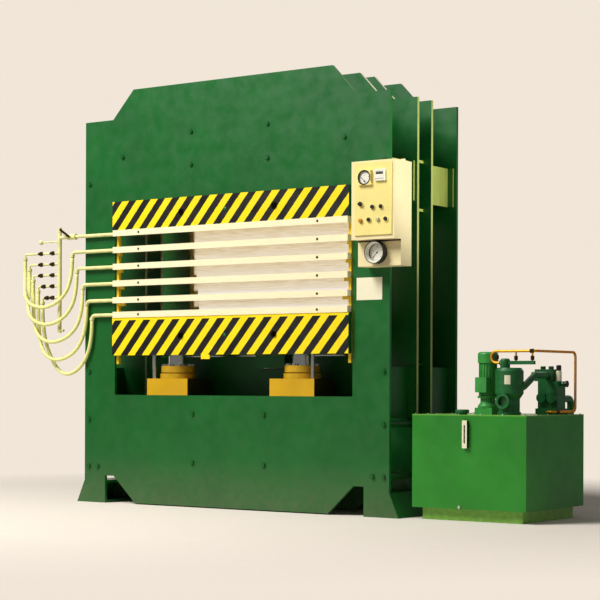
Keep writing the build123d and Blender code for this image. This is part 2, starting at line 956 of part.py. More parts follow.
# Selector knob with a grip bar
with BuildPart() as selector:
    with BuildSketch(facing(door_face + sheet)):
        with Locations(selector_place):
            Circle(cap_d / 2)
    extrude(amount=sheet + collar_t + rest_gap)
    with BuildSketch(facing(door_face - collar_t - rest_gap)):
        with Locations(selector_place):
            Circle(selector_d / 2)
    extrude(amount=selector_t)
    with BuildSketch(facing(door_face - collar_t - rest_gap - selector_t)):
        with Locations(selector_place):
            SlotOverall(selector_bar[1], selector_bar[0])
    extrude(amount=selector_bar[2] - selector_t)
write(selector, "selector")

# Push buttons
for number, place in enumerate(button_places, start=1):
    with BuildPart() as button:
        with BuildSketch(facing(door_face + sheet)):
            with Locations(place):
                Circle(cap_d / 2)
        extrude(amount=sheet + cap_t)
        fillet(button.faces().sort_by(Axis.Y)[0].edges(), radius=cap_round)
    write(button, f"button_{number}")

# Lamps
with BuildPart() as lamps:
    with BuildSketch(facing(door_face)):
        with Locations(*lamp_places):
            Circle(lamp_d / 2)
    extrude(amount=lamp_t)
    fillet(lamps.faces().group_by(Axis.Y)[0].edges(), radius=lamp_round)
write(lamps, "lamps")

# Gauge box below the cabinet, with a round opening for the gauge
gauge_box_middle = (gauge_box_bottom + cabinet_bottom) / 2
with BuildPart() as gauge_box:
    with BuildSketch(facing(front)):
        with Locations((cabinet_middle, gauge_box_middle)):
            Rectangle(cabinet_width, gauge_box_height)
    extrude(amount=gauge_box_depth)
    with BuildSketch(facing(front - sheet)):
        with Locations((cabinet_middle, gauge_box_middle)):
            Rectangle(cabinet_width - 2 * sheet, gauge_box_height - 2 * sheet)
    extrude(amount=gauge_box_depth - 2 * sheet, mode=Mode.SUBTRACT)
    with BuildSketch(facing(gauge_box_face + sheet)):
        with Locations(gauge_place):
            Circle(gauge_body_d / 2 + cap_gap)
    extrude(amount=sheet, mode=Mode.SUBTRACT)
write(gauge_box, "gauge_box")

# Pressure gauge and its pointer
with BuildPart() as pressure_gauge:
    with BuildSketch(facing(gauge_box_face)):
        with Locations(gauge_place):
            Circle(gauge_case_d / 2)
    extrude(amount=gauge_case_t)
    with BuildSketch(facing(gauge_box_face)):
        with Locations(gauge_place):
            Circle(gauge_body_d / 2)
    extrude(amount=-gauge_body_depth)
    with BuildSketch(facing(gauge_box_face - gauge_case_t)):
        with Locations(gauge_place):
            Circle(gauge_face_d / 2)
    extrude(amount=-gauge_face_depth, mode=Mode.SUBTRACT)
write(pressure_gauge, "pressure_gauge")
gauge_dial = gauge_box_face - gauge_case_t + gauge_face_depth
with BuildPart() as gauge_pointer:
    with BuildSketch(facing(gauge_dial - rest_gap)):
        with Locations(gauge_place):
            Circle(hub_d / 2)
            with Locations(Location((0, 0), gauge_rest)):
                with Locations((gauge_face_d / 6, 0)):
                    Rectangle(gauge_face_d / 2, pointer_width)
    extrude(amount=pointer_t)
write(gauge_pointer, "gauge_pointer")

# Tank: a welded box on an inset plinth
with BuildPart() as tank:
    with BuildSketch(level(0)):
        with Locations(tank_middle):
            Rectangle(tank_width - 2 * plinth_inset, tank_depth - 2 * plinth_inset)
            Rectangle(
                tank_width - 2 * plinth_inset - 2 * plinth_t,
                tank_depth - 2 * plinth_inset - 2 * plinth_t,
                mode=Mode.SUBTRACT,
            )
    extrude(amount=plinth_height)
    with BuildSketch(level(plinth_height)):
        with Locations(tank_middle):
            Rectangle(tank_width, tank_depth)
    extrude(amount=tank_top - plinth_height)
    with BuildSketch(level(plinth_height + tank_t)):
        with Locations(tank_middle):
            Rectangle(tank_width - 2 * tank_t, tank_depth - 2 * tank_t)
    extrude(amount=tank_top - plinth_height - tank_t, mode=Mode.SUBTRACT)
write(tank, "tank")
with BuildPart() as tank_lid:
    with BuildSketch(level(tank_top)):
        with Locations(tank_middle):
            Rectangle(tank_width, tank_depth)
    extrude(amount=lid_t)
write(tank_lid, "tank_lid")

# Level gauge on the front of the tank, with a slot for its glass
level_x = tank_left + level_spot
with BuildPart() as level_gauge:
    with BuildSketch(facing(tank_front)):
        with Locations((level_x, level_bottom + level_size[1] / 2)):
            RectangleRounded(level_size[0], level_size[1], level_round)
    extrude(amount=level_size[2])
    with BuildSketch(facing(tank_front - level_size[2])):
        with Locations((level_x, level_bottom + level_size[1] / 2)):
            SlotOverall(level_glass[1], level_glass[0], rotation=90)
    extrude(amount=-level_size[2] / 2, mode=Mode.SUBTRACT)
write(level_gauge, "level_gauge")

# Filler cap with its neck
filler_top = lid_top + filler_neck + filler_t
filler_outline = [
    (0, lid_top),
    (filler_neck_d / 2, lid_top),
    (filler_neck_d / 2, lid_top + filler_neck),
    (filler_d / 2, lid_top + filler_neck),
    (filler_d / 2, filler_top),
    (0, filler_top),
]
with BuildPart() as filler_cap:
    add(turned(filler_outline, filler_place))
    fillet(filler_cap.faces().sort_by(Axis.Z)[-1].edges(), radius=filler_round)
write(filler_cap, "filler_cap")

# Upright motor: base, bell, flange, finned body, fan cowl with vents, terminal box
motor_x, motor_y = motor_place
bell_bottom = lid_top + motor_base[2]
flange_bottom = bell_bottom + motor_neck[2]
flange_top = flange_bottom + motor_flange[1]
motor_outline = [
    (0, bell_bottom),
    (motor_bell[0] / 2, bell_bottom),
    (motor_bell[0] / 2, bell_bottom + motor_bell[1]),
    (motor_neck[0] / 2, bell_bottom + motor_neck[1]),
    (motor_neck[0] / 2, flange_bottom),
    (motor_flange[0] / 2, flange_bottom),
    (motor_flange[0] / 2, flange_top),
    (motor_d / 2, flange_top),
    (motor_d / 2, motor_body_top),
    (cowl_d / 2, motor_body_top),
    (cowl_d / 2, motor_top),
    (0, motor_top),
]
with BuildPart() as motor:
    add(turned(motor_outline, motor_place))
    fillet(motor.faces().sort_by(Axis.Z)[-1].edges(), radius=cowl_round)
    with BuildSketch(level(motor_top)):
        with Locations(motor_place):
            with PolarLocations(vent_circle / 2, vent_count):
                SlotOverall(vent_size[0], vent_size[1])
    extrude(amount=-vent_size[2], mode=Mode.SUBTRACT)
    with BuildSketch(level(flange_top)):
        with Locations(motor_place):
            with PolarLocations(motor_d / 2, fin_count):
                Rectangle(fin_size[0], fin_size[1])
    extrude(amount=motor_body_top - flange_top)
    with BuildSketch(level(lid_top)):
        with Locations(motor_place):
            Rectangle(motor_base[0], motor_base[1])
    extrude(amount=motor_base[2])
    with BuildSketch(facing(motor_y)):
        with Locations((motor_x, terminal_z)):
            RectangleRounded(terminal_box[0], terminal_box[2], terminal_round)
    extrude(amount=motor_d / 2 + fin_size[0] / 2 + terminal_box[1])
write(motor, "motor")

# Pump: a turned body with a round port, a top fitting with its manifold, and the arched
# pipe over to the valves
pump_x, pump_y = pump_place
pump_outline = [
    (0, lid_top),
    (pump_foot[0] / 2, lid_top),
    (pump_foot[0] / 2, lid_top + pump_foot[1]),
    (pump_waist[0] / 2, lid_top + pump_foot[1]),
    (pump_waist[0] / 2, lid_top + pump_waist[1]),
    (pump_body[0] / 2, lid_top + pump_body[1]),
    (pump_body[0] / 2, lid_top + pump_body[2]),
    (pump_shoulder[0] / 2, pump_top),
    (0, pump_top),
]
valve_x_middle = block_place[0] + valve_shift
valve_front = block_place[1] - valve_size[1] / 2
valve_middle_z = block_top + valve_size[2] / 2
arch_x = valve_x_middle + valve_size[0] / 4
arch_run = [
    (pump_x + pump_waist[0] / 4, pump_y, arch_z),
    (arch_x, pump_y, arch_z),
    (arch_x, (pump_y + valve_front) / 2, valve_middle_z),
    (arch_x, valve_front, valve_middle_z),
]
with BuildPart() as pump_unit:
    add(turned(pump_outline, pump_place))
    with BuildSketch(facing(pump_y)):
        with Locations((pump_x, lid_top + pump_port[2])):
            Circle(pump_port[0] / 2)
    extrude(amount=pump_port[1])
    with BuildSketch(facing(pump_y - pump_port[1])):
        with Locations((pump_x, lid_top + pump_port[2])):
            Circle(pump_bore[0] / 2)
    extrude(amount=-pump_bore[1], mode=Mode.SUBTRACT)
    with BuildSketch(level(pump_top)):
        with Locations((pump_x + fitting_x, pump_y)):
            Circle(fitting_size[0] / 2)
    extrude(amount=fitting_size[1])
    fillet(pump_unit.faces().sort_by(Axis.Z)[-1].edges(), radius=fitting_round)
    with BuildSketch(sideways(pump_x + fitting_x)):
        with Locations((pump_y, manifold_z)):
            Circle(fitting_boss[0] / 2)
    extrude(amount=-fitting_boss[1])
    with BuildSketch(sideways(pump_x + fitting_x)):
        with Locations((pump_y, manifold_z)):
            Rectangle(*manifold_size)
    extrude(amount=manifold_end - fitting_x)
    add(bent_bar(arch_run, arch_bend, arch_d))
write(pump_unit, "pump_unit")

# Valve block: foot, block, valve body with a solenoid, covers, plugs and the relief valve
block_x, block_y = block_place
with BuildPart() as valve_block:
    with BuildSketch(level(lid_top)):
        with Locations(block_place):
            Rectangle(block_foot[0], block_foot[1])
    extrude(amount=block_foot[2])
    with BuildSketch(level(lid_top)):
        with Locations(block_place):
            Rectangle(block_size[0], block_size[1])
    extrude(amount=block_size[2])
    with BuildSketch(level(block_top)):
        with Locations((valve_x_middle, block_y)):
            Rectangle(valve_size[0], valve_size[1])
    extrude(amount=valve_size[2])
    with BuildSketch(facing(block_y)):
        with Locations((block_x, cover_z)):
            with GridLocations(cover_spread, 1, 2, 1):
                Circle(cover_size[0] / 2)
    extrude(amount=block_size[1] / 2 + cover_size[1])
    with BuildSketch(level(block_top + valve_size[2])):
        with Locations((valve_x_middle, block_y)):
            with GridLocations(plug_spread, 1, 2, 1):
                Circle(plug_size[0] / 2)
    extrude(amount=plug_size[1])
    with BuildSketch(sideways(valve_x_middle)):
        with Locations((block_y, valve_middle_z)):
            Circle(solenoid_size[0] / 2)
    extrude(amount=-valve_size[0] / 2 - solenoid_size[1])
    with BuildSketch(level(block_top)):
        with Locations((block_right - relief_tube[0] / 2, block_y)):
            Circle(relief_tube[0] / 2)
    extrude(amount=relief_tube[1])
    with BuildSketch(level(block_top + relief_tube[1])):
        with Locations((block_right - relief_tube[0] / 2, block_y)):
            Circle(relief_cap[0] / 2)
    extrude(amount=relief_cap[1])
    with BuildSketch(sideways(block_right)):
        with Locations((block_y, relief_z)):
            Circle(relief_boss[0] / 2)
    extrude(amount=relief_boss[1])
write(valve_block, "valve_block")

# Relief knob on its boss at the right side of the valve block
with BuildPart() as relief_knob:
    with BuildSketch(sideways(block_right + relief_boss[1] + relief_gap)):
        with Locations((block_y, relief_z)):
            Circle(relief_stem[0] / 2)
    extrude(amount=relief_stem[1])
    with BuildSketch(sideways(block_right + relief_boss[1] + relief_gap + relief_stem[1])):
        with Locations((block_y, relief_z)):
            Circle(relief_rim[0] / 2)
    extrude(amount=relief_rim[1])
write(relief_knob, "relief_knob")

# Thin copper pipe from the fitting over the back corner of the lid to the block's foot,
# with two short branches down to the manifold
boss_x = pump_x + fitting_x - fitting_boss[1]
corner_x = tank_right - copper_inset[0]
corner_y = tank_back - copper_inset[1]
copper_low = lid_top + copper_d
foot_front = block_y - block_foot[1] / 2
copper_run = [
    (boss_x, pump_y, manifold_z),
    (boss_x - copper_loop, pump_y, manifold_z),
    (boss_x - copper_loop, pump_y, copper_top),
    (corner_x, pump_y, copper_top),
    (corner_x, corner_y, copper_top),
    (corner_x, corner_y, copper_low),
    (corner_x, foot_front - copper_front, copper_low),
    (block_x + copper_side, foot_front - copper_front, copper_low),
    (block_x + copper_side, foot_front, copper_low),
]
with BuildPart() as copper_pipes:
    add(bent_bar(copper_run, 2 * copper_d, copper_d))
    with BuildSketch(level(manifold_z + manifold_size[1] / 2)):
        for offset in copper_branches:
            with Locations((pump_x + offset, pump_y)):
                Circle(copper_branch_d / 2)
    extrude(amount=copper_top - manifold_z - manifold_size[1] / 2)
write(copper_pipes, "copper_pipes")

# Main oil pipe: behind the tank, into the back pair of plates, and through to the front pair
oil_exit = block_place[1] + block_size[1] / 2
oil_back = tank_back + oil_pipe_d
oil_turn_x = (half_width + tank_left) / 2
oil_run = [
    (block_place[0], oil_exit, oil_outlet_z),
    (block_place[0], oil_back, oil_outlet_z),
    (block_place[0], oil_back, oil_pipe_z),
    (oil_turn_x, oil_back, oil_pipe_z),
    (oil_turn_x, cylinder_y, oil_pipe_z),
    (-cylinder_x, cylinder_y, oil_pipe_z),
]
oil_trunk = bent_bar(oil_run, oil_bend, oil_pipe_d)
with BuildPart() as main_oil_pipe:
    add(oil_trunk)
    with BuildSketch(facing(cylinder_y)):
        with Locations((0, oil_pipe_z)):
            Circle(oil_branch_d / 2)
    extrude(amount=2 * cylinder_y)
    with BuildSketch(sideways(-cylinder_x)):
        with Locations((-cylinder_y, oil_pipe_z)):
            Circle(oil_pipe_d / 2)
    extrude(amount=2 * cylinder_x)
    with BuildSketch(level(oil_pipe_z)):
        with GridLocations(2 * cylinder_x, 2 * cylinder_y, 2, 2):
            Circle(oil_branch_d / 2)
    extrude(amount=barrel_bottom - oil_pipe_z)
write(main_oil_pipe, "main_oil_pipe")
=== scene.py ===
"""Looks of a multi-daylight plate-frame press: finishes, hoses, dials, plates and the studio."""

import math

import bmesh
import bpy
from mathutils import Matrix, Vector


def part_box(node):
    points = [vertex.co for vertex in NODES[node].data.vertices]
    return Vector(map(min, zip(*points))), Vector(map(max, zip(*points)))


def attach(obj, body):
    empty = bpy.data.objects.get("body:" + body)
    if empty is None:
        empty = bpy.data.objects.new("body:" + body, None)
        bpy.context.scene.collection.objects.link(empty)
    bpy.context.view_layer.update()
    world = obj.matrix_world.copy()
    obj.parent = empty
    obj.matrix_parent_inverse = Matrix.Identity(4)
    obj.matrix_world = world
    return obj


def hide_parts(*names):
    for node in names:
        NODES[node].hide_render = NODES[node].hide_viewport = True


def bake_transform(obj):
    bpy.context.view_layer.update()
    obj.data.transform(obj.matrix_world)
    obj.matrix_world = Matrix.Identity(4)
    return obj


bl_info = {
    "name": "Plate-frame press",
    "version": (1, 0, 0),
    "blender": (4, 5, 0),
    "location": "View3D > Sidebar > Press",
    "description": "Finishes and small pieces of a plate-frame press",
    "category": "Object",
}

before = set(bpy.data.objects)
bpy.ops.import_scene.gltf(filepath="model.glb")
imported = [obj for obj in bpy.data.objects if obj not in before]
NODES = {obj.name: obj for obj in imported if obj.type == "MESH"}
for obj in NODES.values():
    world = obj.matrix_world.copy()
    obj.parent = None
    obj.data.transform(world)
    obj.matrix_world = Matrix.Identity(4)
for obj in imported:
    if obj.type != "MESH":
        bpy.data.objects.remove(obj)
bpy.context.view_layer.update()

# Places on the press, in metres
BARE_PLATE = (1.370, 1.831, 1.626, 2.020)  # left, bottom, right, top
PLATE_MARGIN = 0.014
PLATE_THICKNESS = 0.002
SCREEN_LIP = ((0.0505, -0.1005, 1.253), (0.3895, -0.0935, 1.262))
WINDOW_HALF = 1.4  # cut edges nearer the middle than this are the window's
WEB_HIGHLIGHT_HEIGHT = 2.3  # web edges above this get the painted highlight
STRIPE_BOLTS = (-0.500, 0.540)
BOLT_RISES = (0.014, 0.0055)  # front and rear: the rear ones stay inside the solids' box
PLUG_RISE = 0.0055
HEADER_X = -2.000
BRANCH_HEIGHTS = {2: 2.366, 3: 2.261, 4: 2.156, 5: 2.050, 6: 1.940}
NEAR_UNION = 0.092
FAR_UNIONS = {2: 0.242, 3: 0.242, 4: 0.242, 5: 0.205, 6: 0.162}
BETWEEN_LAMPS = 1.67
METER_RING = 0.0625  # radius of the black ring on the meter's square case
TIMER_SLOTS = ((2.844, 2.862), (2.806, 2.8085))  # heights of the window and of the rib
PLINTH_TOP = 0.1
DRAIN_PLUG = (2.343, 0.116)
LID_BOLTS = (6, 0.022)  # along each side, and how far in from the edge
PUMP_PLATE = ((2.680, -0.288), 0.116, (1.123, 1.197), 0.0014)  # middle, radius, heights, depth
RELIEF_VALVE = (2.866, 0.232, 1.150)
COPPER_UNIONS = (
    ((2.565, -0.288, 1.345), (0, 0, 1)),
    ((2.740, -0.288, 1.338), (0, 0, 1)),
    ((2.890, -0.288, 1.338), (0, 0, 1)),
    ((2.885, -0.288, 1.395), (1, 0, 0)),
    ((2.923, 0.100, 0.895), (0, 1, 0)),
)

FACE_DEPTH = 0.00015  # thickness of the printed dials

# Outlines of turned pieces: radius and height along the axis, in metres
SCREW_DOME = [(0.005, 0.0), (0.0045, 0.0015), (0.0025, 0.0022)]
UNION_OUTLINE = [
    (0.013, -0.034),
    (0.0135, -0.02),
    (0.021, -0.014),
    (0.021, 0.014),
    (0.0135, 0.02),
    (0.013, 0.034),
]
NUT_OUTLINE = [(0.0115, -0.018), (0.0175, -0.016), (0.0175, 0.016), (0.0115, 0.018)]
SLEEVE_OUTLINE = [
    (0.0245, 0.001),
    (0.0248, 0.004),
    (0.0248, 0.084),
    (0.0235, 0.0885),
    (0.0172, 0.0885),
]
CAP_OUTLINE = [
    (0.0172, 0.0886),
    (0.0215, 0.093),
    (0.0215, 0.128),
    (0.0175, 0.1355),
    (0.006, 0.1365),
]

# Outlines of rings that look to the front: radius and distance ahead, in metres
GAUGE_RIM = [(0.0880, 0.0), (0.0938, 0.0), (0.0938, 0.040), (0.0880, 0.040)]
GAUGE_LINER = [(0.0735, 0.0), (0.0878, 0.0), (0.0878, 0.038), (0.0866, 0.038), (0.0740, 0.001)]

# Control points of the hoses, from the platen pipe's elbow to the header's, in metres
HOSE_ROUTES = {
    2: [
        (-1.839, -0.600, 2.318),
        (-1.839, -0.600, 2.118),
        (-1.930, -0.640, 1.913),
        (-2.130, -0.705, 1.822),
        (-2.330, -0.735, 1.902),
        (-2.452, -0.600, 2.142),
        (-2.452, -0.600, 2.308),
    ],
    3: [
        (-1.781, -0.600, 2.162),
        (-1.781, -0.600, 1.955),
        (-1.884, -0.630, 1.750),
        (-2.100, -0.685, 1.658),
        (-2.298, -0.735, 1.752),
        (-2.392, -0.600, 2.035),
        (-2.392, -0.600, 2.203),
    ],
    4: [
        (-1.705, -0.600, 2.006),
        (-1.705, -0.600, 1.795),
        (-1.818, -0.610, 1.582),
        (-2.055, -0.660, 1.489),
        (-2.246, -0.680, 1.590),
        (-2.345, -0.600, 1.868),
        (-2.345, -0.600, 2.098),
    ],
    5: [
        (-1.655, -0.600, 1.850),
        (-1.655, -0.600, 1.635),
        (-1.785, -0.603, 1.410),
        (-2.030, -0.622, 1.320),
        (-2.195, -0.645, 1.421),
        (-2.280, -0.600, 1.745),
        (-2.280, -0.600, 1.992),
    ],
    6: [
        (-1.587, -0.600, 1.714),
        (-1.587, -0.600, 1.505),
        (-1.705, -0.600, 1.276),
        (-1.932, -0.575, 1.185),
        (-2.115, -0.555, 1.291),
        (-2.221, -0.600, 1.600),
        (-2.221, -0.600, 1.882),
    ],
}

# Name, power in watts, size in metres, cone in degrees (0 for a panel), place and target
LIGHTS = (
    ("key_light", 2450.0, 6.0, 0, (-4.0, -8.5, 11.5), (0, -0.6, 1.9)),
    ("side_light", 1150.0, 0.3, 23, (7.0, -0.7, 3.1), (1.9, -0.4, 3.0)),
)
SKY_STRENGTH = 0.19
FLOOR_FADE = (3.6, 6.4)  # where the floor starts to fade, and where it has gone
CAMERA_PLACE = (9.4675, -12.965, 1.1087)
CAMERA_TURN = 35.0  # degrees to the right of the front
CAMERA_ROLL = 0.0036  # radians
CAMERA_LENS = 104.82  # millimetres
CAMERA_SHIFT = 0.1422


def linear(hex_colour):
    """Turn an sRGB hex colour into linear red, green, blue and alpha."""
    parts = [int(hex_colour[place:place + 2], 16) / 255 for place in (1, 3, 5)]
    bright = [((part + 0.055) / 1.055) ** 2.4 for part in parts]
    dark = [part / 12.92 for part in parts]
    turned = [low if part <= 0.04045 else high for part, low, high in zip(parts, dark, bright)]
    return (*turned, 1.0)


def colour(name, hex_colour, words):
    """A colour property with its default."""
    return bpy.props.FloatVectorProperty(
        name=name,
        description=words,
        default=linear(hex_colour),
        size=4,
        min=0.0,
        max=1.0,
        subtype="COLOR",
    )


def length(name, default, words):
    """A length property in metres with its default."""
    return bpy.props.FloatProperty(
        name=name, description=words, default=default, min=0.0, unit="LENGTH", precision=4
    )


def share(name, default, words):
    """A plain number property with its default."""
    return bpy.props.FloatProperty(
        name=name, description=words, default=default, min=0.0, precision=3
    )


class PressColours(bpy.types.PropertyGroup):
    """Colours of the press"""

    frame_green: colour("Frame green", "#0D5C1F", "Enamel of the frame plates and feet")
    # Painted highlight on the sideways faces of the inner plates
    edge_highlight: colour("Edge green", "#B9C26A", "Thin enamel on the cut edges of the inner plates")
    web_green: colour("Web green", "#10601F", "Enamel between the frame plates")
    # Painted highlight on the sideways faces of the upper webs
    web_highlight: colour("Web edge", "#B5C25C", "Thin enamel on the lit webs")
    # Painted light: the tank's top fold, and its plinth, which also holds some dust
    tank_lit_green: colour("Plinth green", "#84BF48", "Scuffed enamel of the tank's plinth")
    tank_green: colour("Tank green", "#20801B", "Enamel of the tank")
    unit_green: colour("Unit green", "#17602B", "Enamel of the motor, pump and valves")
    motor_green: colour("Motor green", "#37913C", "Enamel of the motor")
    stripe_yellow: colour("Stripe yellow", "#FFE000", "Light stripes of the beam and bolster")
    stripe_black: colour("Stripe black", "#0D0B09", "Dark stripes of the beam and bolster")
    # Also the pale edges of the platens, a painted reflection
    steel: colour("Platen steel", "#F8EBC0", "Ground steel of the platens")
    rack_yellow: colour("Rack yellow", "#E8C21A", "Enamel of the step racks")
    seat_yellow: colour("Seat yellow", "#C99C0A", "Enamel of the seat blocks and cylinders")
    bright_steel: colour("Bright steel", "#DAD9D2", "Hard chrome and plated bolts")
    pipe_cream: colour("Pipe cream", "#E6E09A", "Enamel of the water pipes")
    hose_cream: colour("Hose cream", "#E9E690", "Rubber of the hoses")
    fitting_brown: colour("Fitting brown", "#4B4220", "Small fittings on the water pipes")
    # Partly painted light: paler than the door, for the bright side of the box
    cabinet_cream: colour("Cabinet cream", "#F3E2AC", "Enamel of the control box shell")
    door_cream: colour("Door cream", "#F6E38A", "Enamel of the control box door")
    plate_cream: colour("Plate cream", "#F1E9C8", "Bare plates")
    black: colour("Black", "#15120F", "Phenolic resin, bezels and knobs")
    dial_white: colour("Dial white", "#EDE9D8", "Faces of the meter and gauge")
    ink: colour("Ink", "#2A2620", "Marks on the dials")
    lamp_amber: colour("Lamp amber", "#C9862A", "Lens of the first lamp")
    lamp_pale: colour("Lamp pale", "#D9D0A0", "Lens of the second lamp")
    pointer: colour("Pointer", "#3A120D", "Pointers")
    copper: colour("Copper", "#F0A83A", "Thin oil pipes")
    # Painted shade on the sideways faces of the seat blocks
    seat_side_shade: colour("Grease", "#33290B", "Old oil on the sides of the seat blocks")
    dust: colour("Dust", "#6E6B52", "Floor dust on the frame")
    page: colour("Backdrop", "#F1E6D8", "Floor and backdrop")


class PressSizes(bpy.types.PropertyGroup):
    """Sizes of the pieces that the scene adds"""

    stripe_pitch: length("Stripe pitch", 0.172, "One light and one dark stripe along the beam")
    stripe_lean: share("Stripe lean", 0.85, "Sideways run of a stripe for each unit of height")
    stripe_share: share("Stripe share", 0.495, "Light part of each pair of stripes")
    beam_phase: share("Beam phase", 0.1375, "Start of the beam's first light stripe, in pitches")
    bolster_phase: share("Bolster phase", 0.6225, "Start of the bolster's first light stripe")
    stripe_floor: length("Stripe floor", 1.380, "Lowest height that is striped")
    stripe_reach: length("Stripe reach", 0.55, "Ribs nearer the middle than this stay green")
    bolster_band: length("Bolster band", 1.707, "Height above which the bolster is plain yellow")
    hose_d: length("Hose diameter", 0.034, "Outside diameter of the hoses")
    plug_d: length("Plug diameter", 0.022, "Pipe plugs in the platen edges")
    plug_x: length("Plug place", 1.0, "Distance of the platen plugs from the middle")
    bolt_d: length("Bolt diameter", 0.052, "Bolt heads in the stripes")


def node(tree, kind, *values, output=0, **named):
    """Add a node with its settings and inputs, and give back one of its outputs.

    Values fill the inputs in order. A capital name is an input, i6 is the seventh input, and
    any other name is a setting of the node.
    """
    made = tree.nodes.new(f"ShaderNode{kind}")
    inputs = dict(enumerate(values))
    for name, value in named.items():
        if name[0].isupper():
            inputs[name.replace("_", " ")] = value
        elif name[1:].isdigit():
            inputs[int(name[1:])] = value
        else:
            setattr(made, name, value)
    for place, value in inputs.items():
        if isinstance(value, bpy.types.NodeSocket):
            tree.links.new(value, made.inputs[place])
        else:
            made.inputs[place].default_value = value
    return made.outputs[output] if made.outputs else None


def new_material(name):
    """An empty node material and its tree."""
    material = bpy.data.materials.new(name)
    material.use_nodes = True
    material.node_tree.nodes.clear()
    return material, material.node_tree


def place_along(tree, axis):
    """How far along an axis (0 to 2) the spot is, in the piece's own metres."""
    return node(tree, "SeparateXYZ", node(tree, "TexCoord", output="Object"), output=axis)


def faces_along(tree, axis):
    """One on faces that look along an axis (0 to 2), either way, and nought elsewhere."""
    facing = node(tree, "SeparateXYZ", node(tree, "TexCoord", output="Normal"), output=axis)
    either_way = node(tree, "Math", facing, operation="ABSOLUTE")
    return node(tree, "Math", either_way, 0.7, operation="GREATER_THAN")


def grain(tree, size, detail=3.0, stretch=(1, 1, 1)):
    """Cloudy grain about size millimetres across, in the piece's own coordinates."""
    place = node(tree, "TexCoord", output="Object")
    scaled = node(tree, "Mapping", Vector=place, Scale=stretch)
    return node(tree, "TexNoise", Vector=scaled, Scale=1000 / size, Detail=detail)


def tint(base, factor):
    """The same colour, lighter or darker by a factor."""
    return (*[min(1.0, part * factor) for part in base[:3]], 1.0)


def mottled(tree, pattern, base, darker, lighter):
    """One colour that the grain makes darker and lighter by two factors."""
    shade = node(tree, "ValToRGB", pattern)
    steps = zip(shade.node.color_ramp.elements, (0.35, 0.65), (darker, lighter))
    for element, place, factor in steps:
        element.position = place
        element.color = tint(base, factor)
    return shade


def surfaced(material, **inputs):
    """Close a material with its surface."""
    tree = material.node_tree
    node(tree, "OutputMaterial", Surface=node(tree, "BsdfPrincipled", **inputs))
    return material


def sprayed_coat(tree, base, spread, cloud):
    """Enamel from a spray gun: soft clouds some millimetres across, and specks of shop dust."""
    cloudy = mottled(tree, grain(tree, cloud, detail=4.0), base, 1 - spread, 1 + spread)
    # A real speck is below 1 mm; the specks are 9 mm so that they show
    specks = node(tree, "MapRange", grain(tree, 9, detail=5.0), 0.62, 0.72)
    faint = node(tree, "Math", specks, 0.35, operation="MULTIPLY")
    dark = tint(base, 0.62)
    return node(tree, "Mix", faint, data_type="RGBA", i6=cloudy, i7=dark, output="Result")


def glossed(material, paint, gloss, relief=0.0005):
    """Close a painted or moulded skin: a gloss that wanders, and orange peel 5 mm across."""
    tree = material.node_tree
    wander = node(tree, "MapRange", grain(tree, 110), 0.3, 0.7, gloss - 0.07, gloss + 0.09)
    peel = node(tree, "Bump", Strength=0.3, Distance=relief, Height=grain(tree, 5, detail=2.0))
    return surfaced(material, Base_Color=paint, Roughness=wander, Normal=peel)


def enamel(name, base, gloss=0.38, spread=0.08, cloud=300):
    """Alkyd enamel sprayed on steel: an even, half-glossy coat, faintly cloudy and dusty."""
    material, tree = new_material(name)
    return glossed(material, sprayed_coat(tree, base, spread, cloud), gloss)


def plate_enamel(name, base, rim, dust, lowest=0.0, window=None):
    """Enamel on flame-cut plate: dusty at the foot, and with the rim colour on its sideways faces,
    which paints a highlight on the frame and a shade on the seat blocks.

    These faces are those that look sideways, above the lowest height. The window's own edges, in
    the middle of the press, can have another colour, a paler painted highlight.
    """
    material, tree = new_material(name)
    coat = sprayed_coat(tree, base, 0.09, 500)
    height = place_along(tree, 2)
    near_floor = node(tree, "MapRange", height, 0.45, 0.02)
    patchy = node(tree, "Math", near_floor, grain(tree, 60, detail=5.0), operation="MULTIPLY")
    settled = node(tree, "Math", patchy, 0.55, operation="MULTIPLY")
    dusty = node(tree, "Mix", settled, data_type="RGBA", i6=coat, i7=dust, output="Result")
    # Streaks in the painted light and shade of the sideways faces, about 50 mm wide and five times
    # as tall
    side_streaks = grain(tree, 50, detail=5.0, stretch=(1, 1, 0.2))
    edge = mottled(tree, side_streaks, rim, 0.85, 1.0)
    # Painted highlight: the window's edges take their own paler colour
    if window:
        sideways = node(tree, "Math", place_along(tree, 0), operation="ABSOLUTE")
        inside = node(tree, "Math", sideways, WINDOW_HALF, operation="LESS_THAN")
        edge = node(tree, "Mix", inside, data_type="RGBA", i6=edge, i7=window, output="Result")
    above = node(tree, "Math", height, lowest, operation="GREATER_THAN")
    # Painted light and shade: the sideways faces take the rim colour
    painted_sides = node(tree, "Math", faces_along(tree, 0), above, operation="MULTIPLY")
    paint = node(tree, "Mix", painted_sides, data_type="RGBA", i6=dusty, i7=edge, output="Result")
    return glossed(material, paint, 0.38)


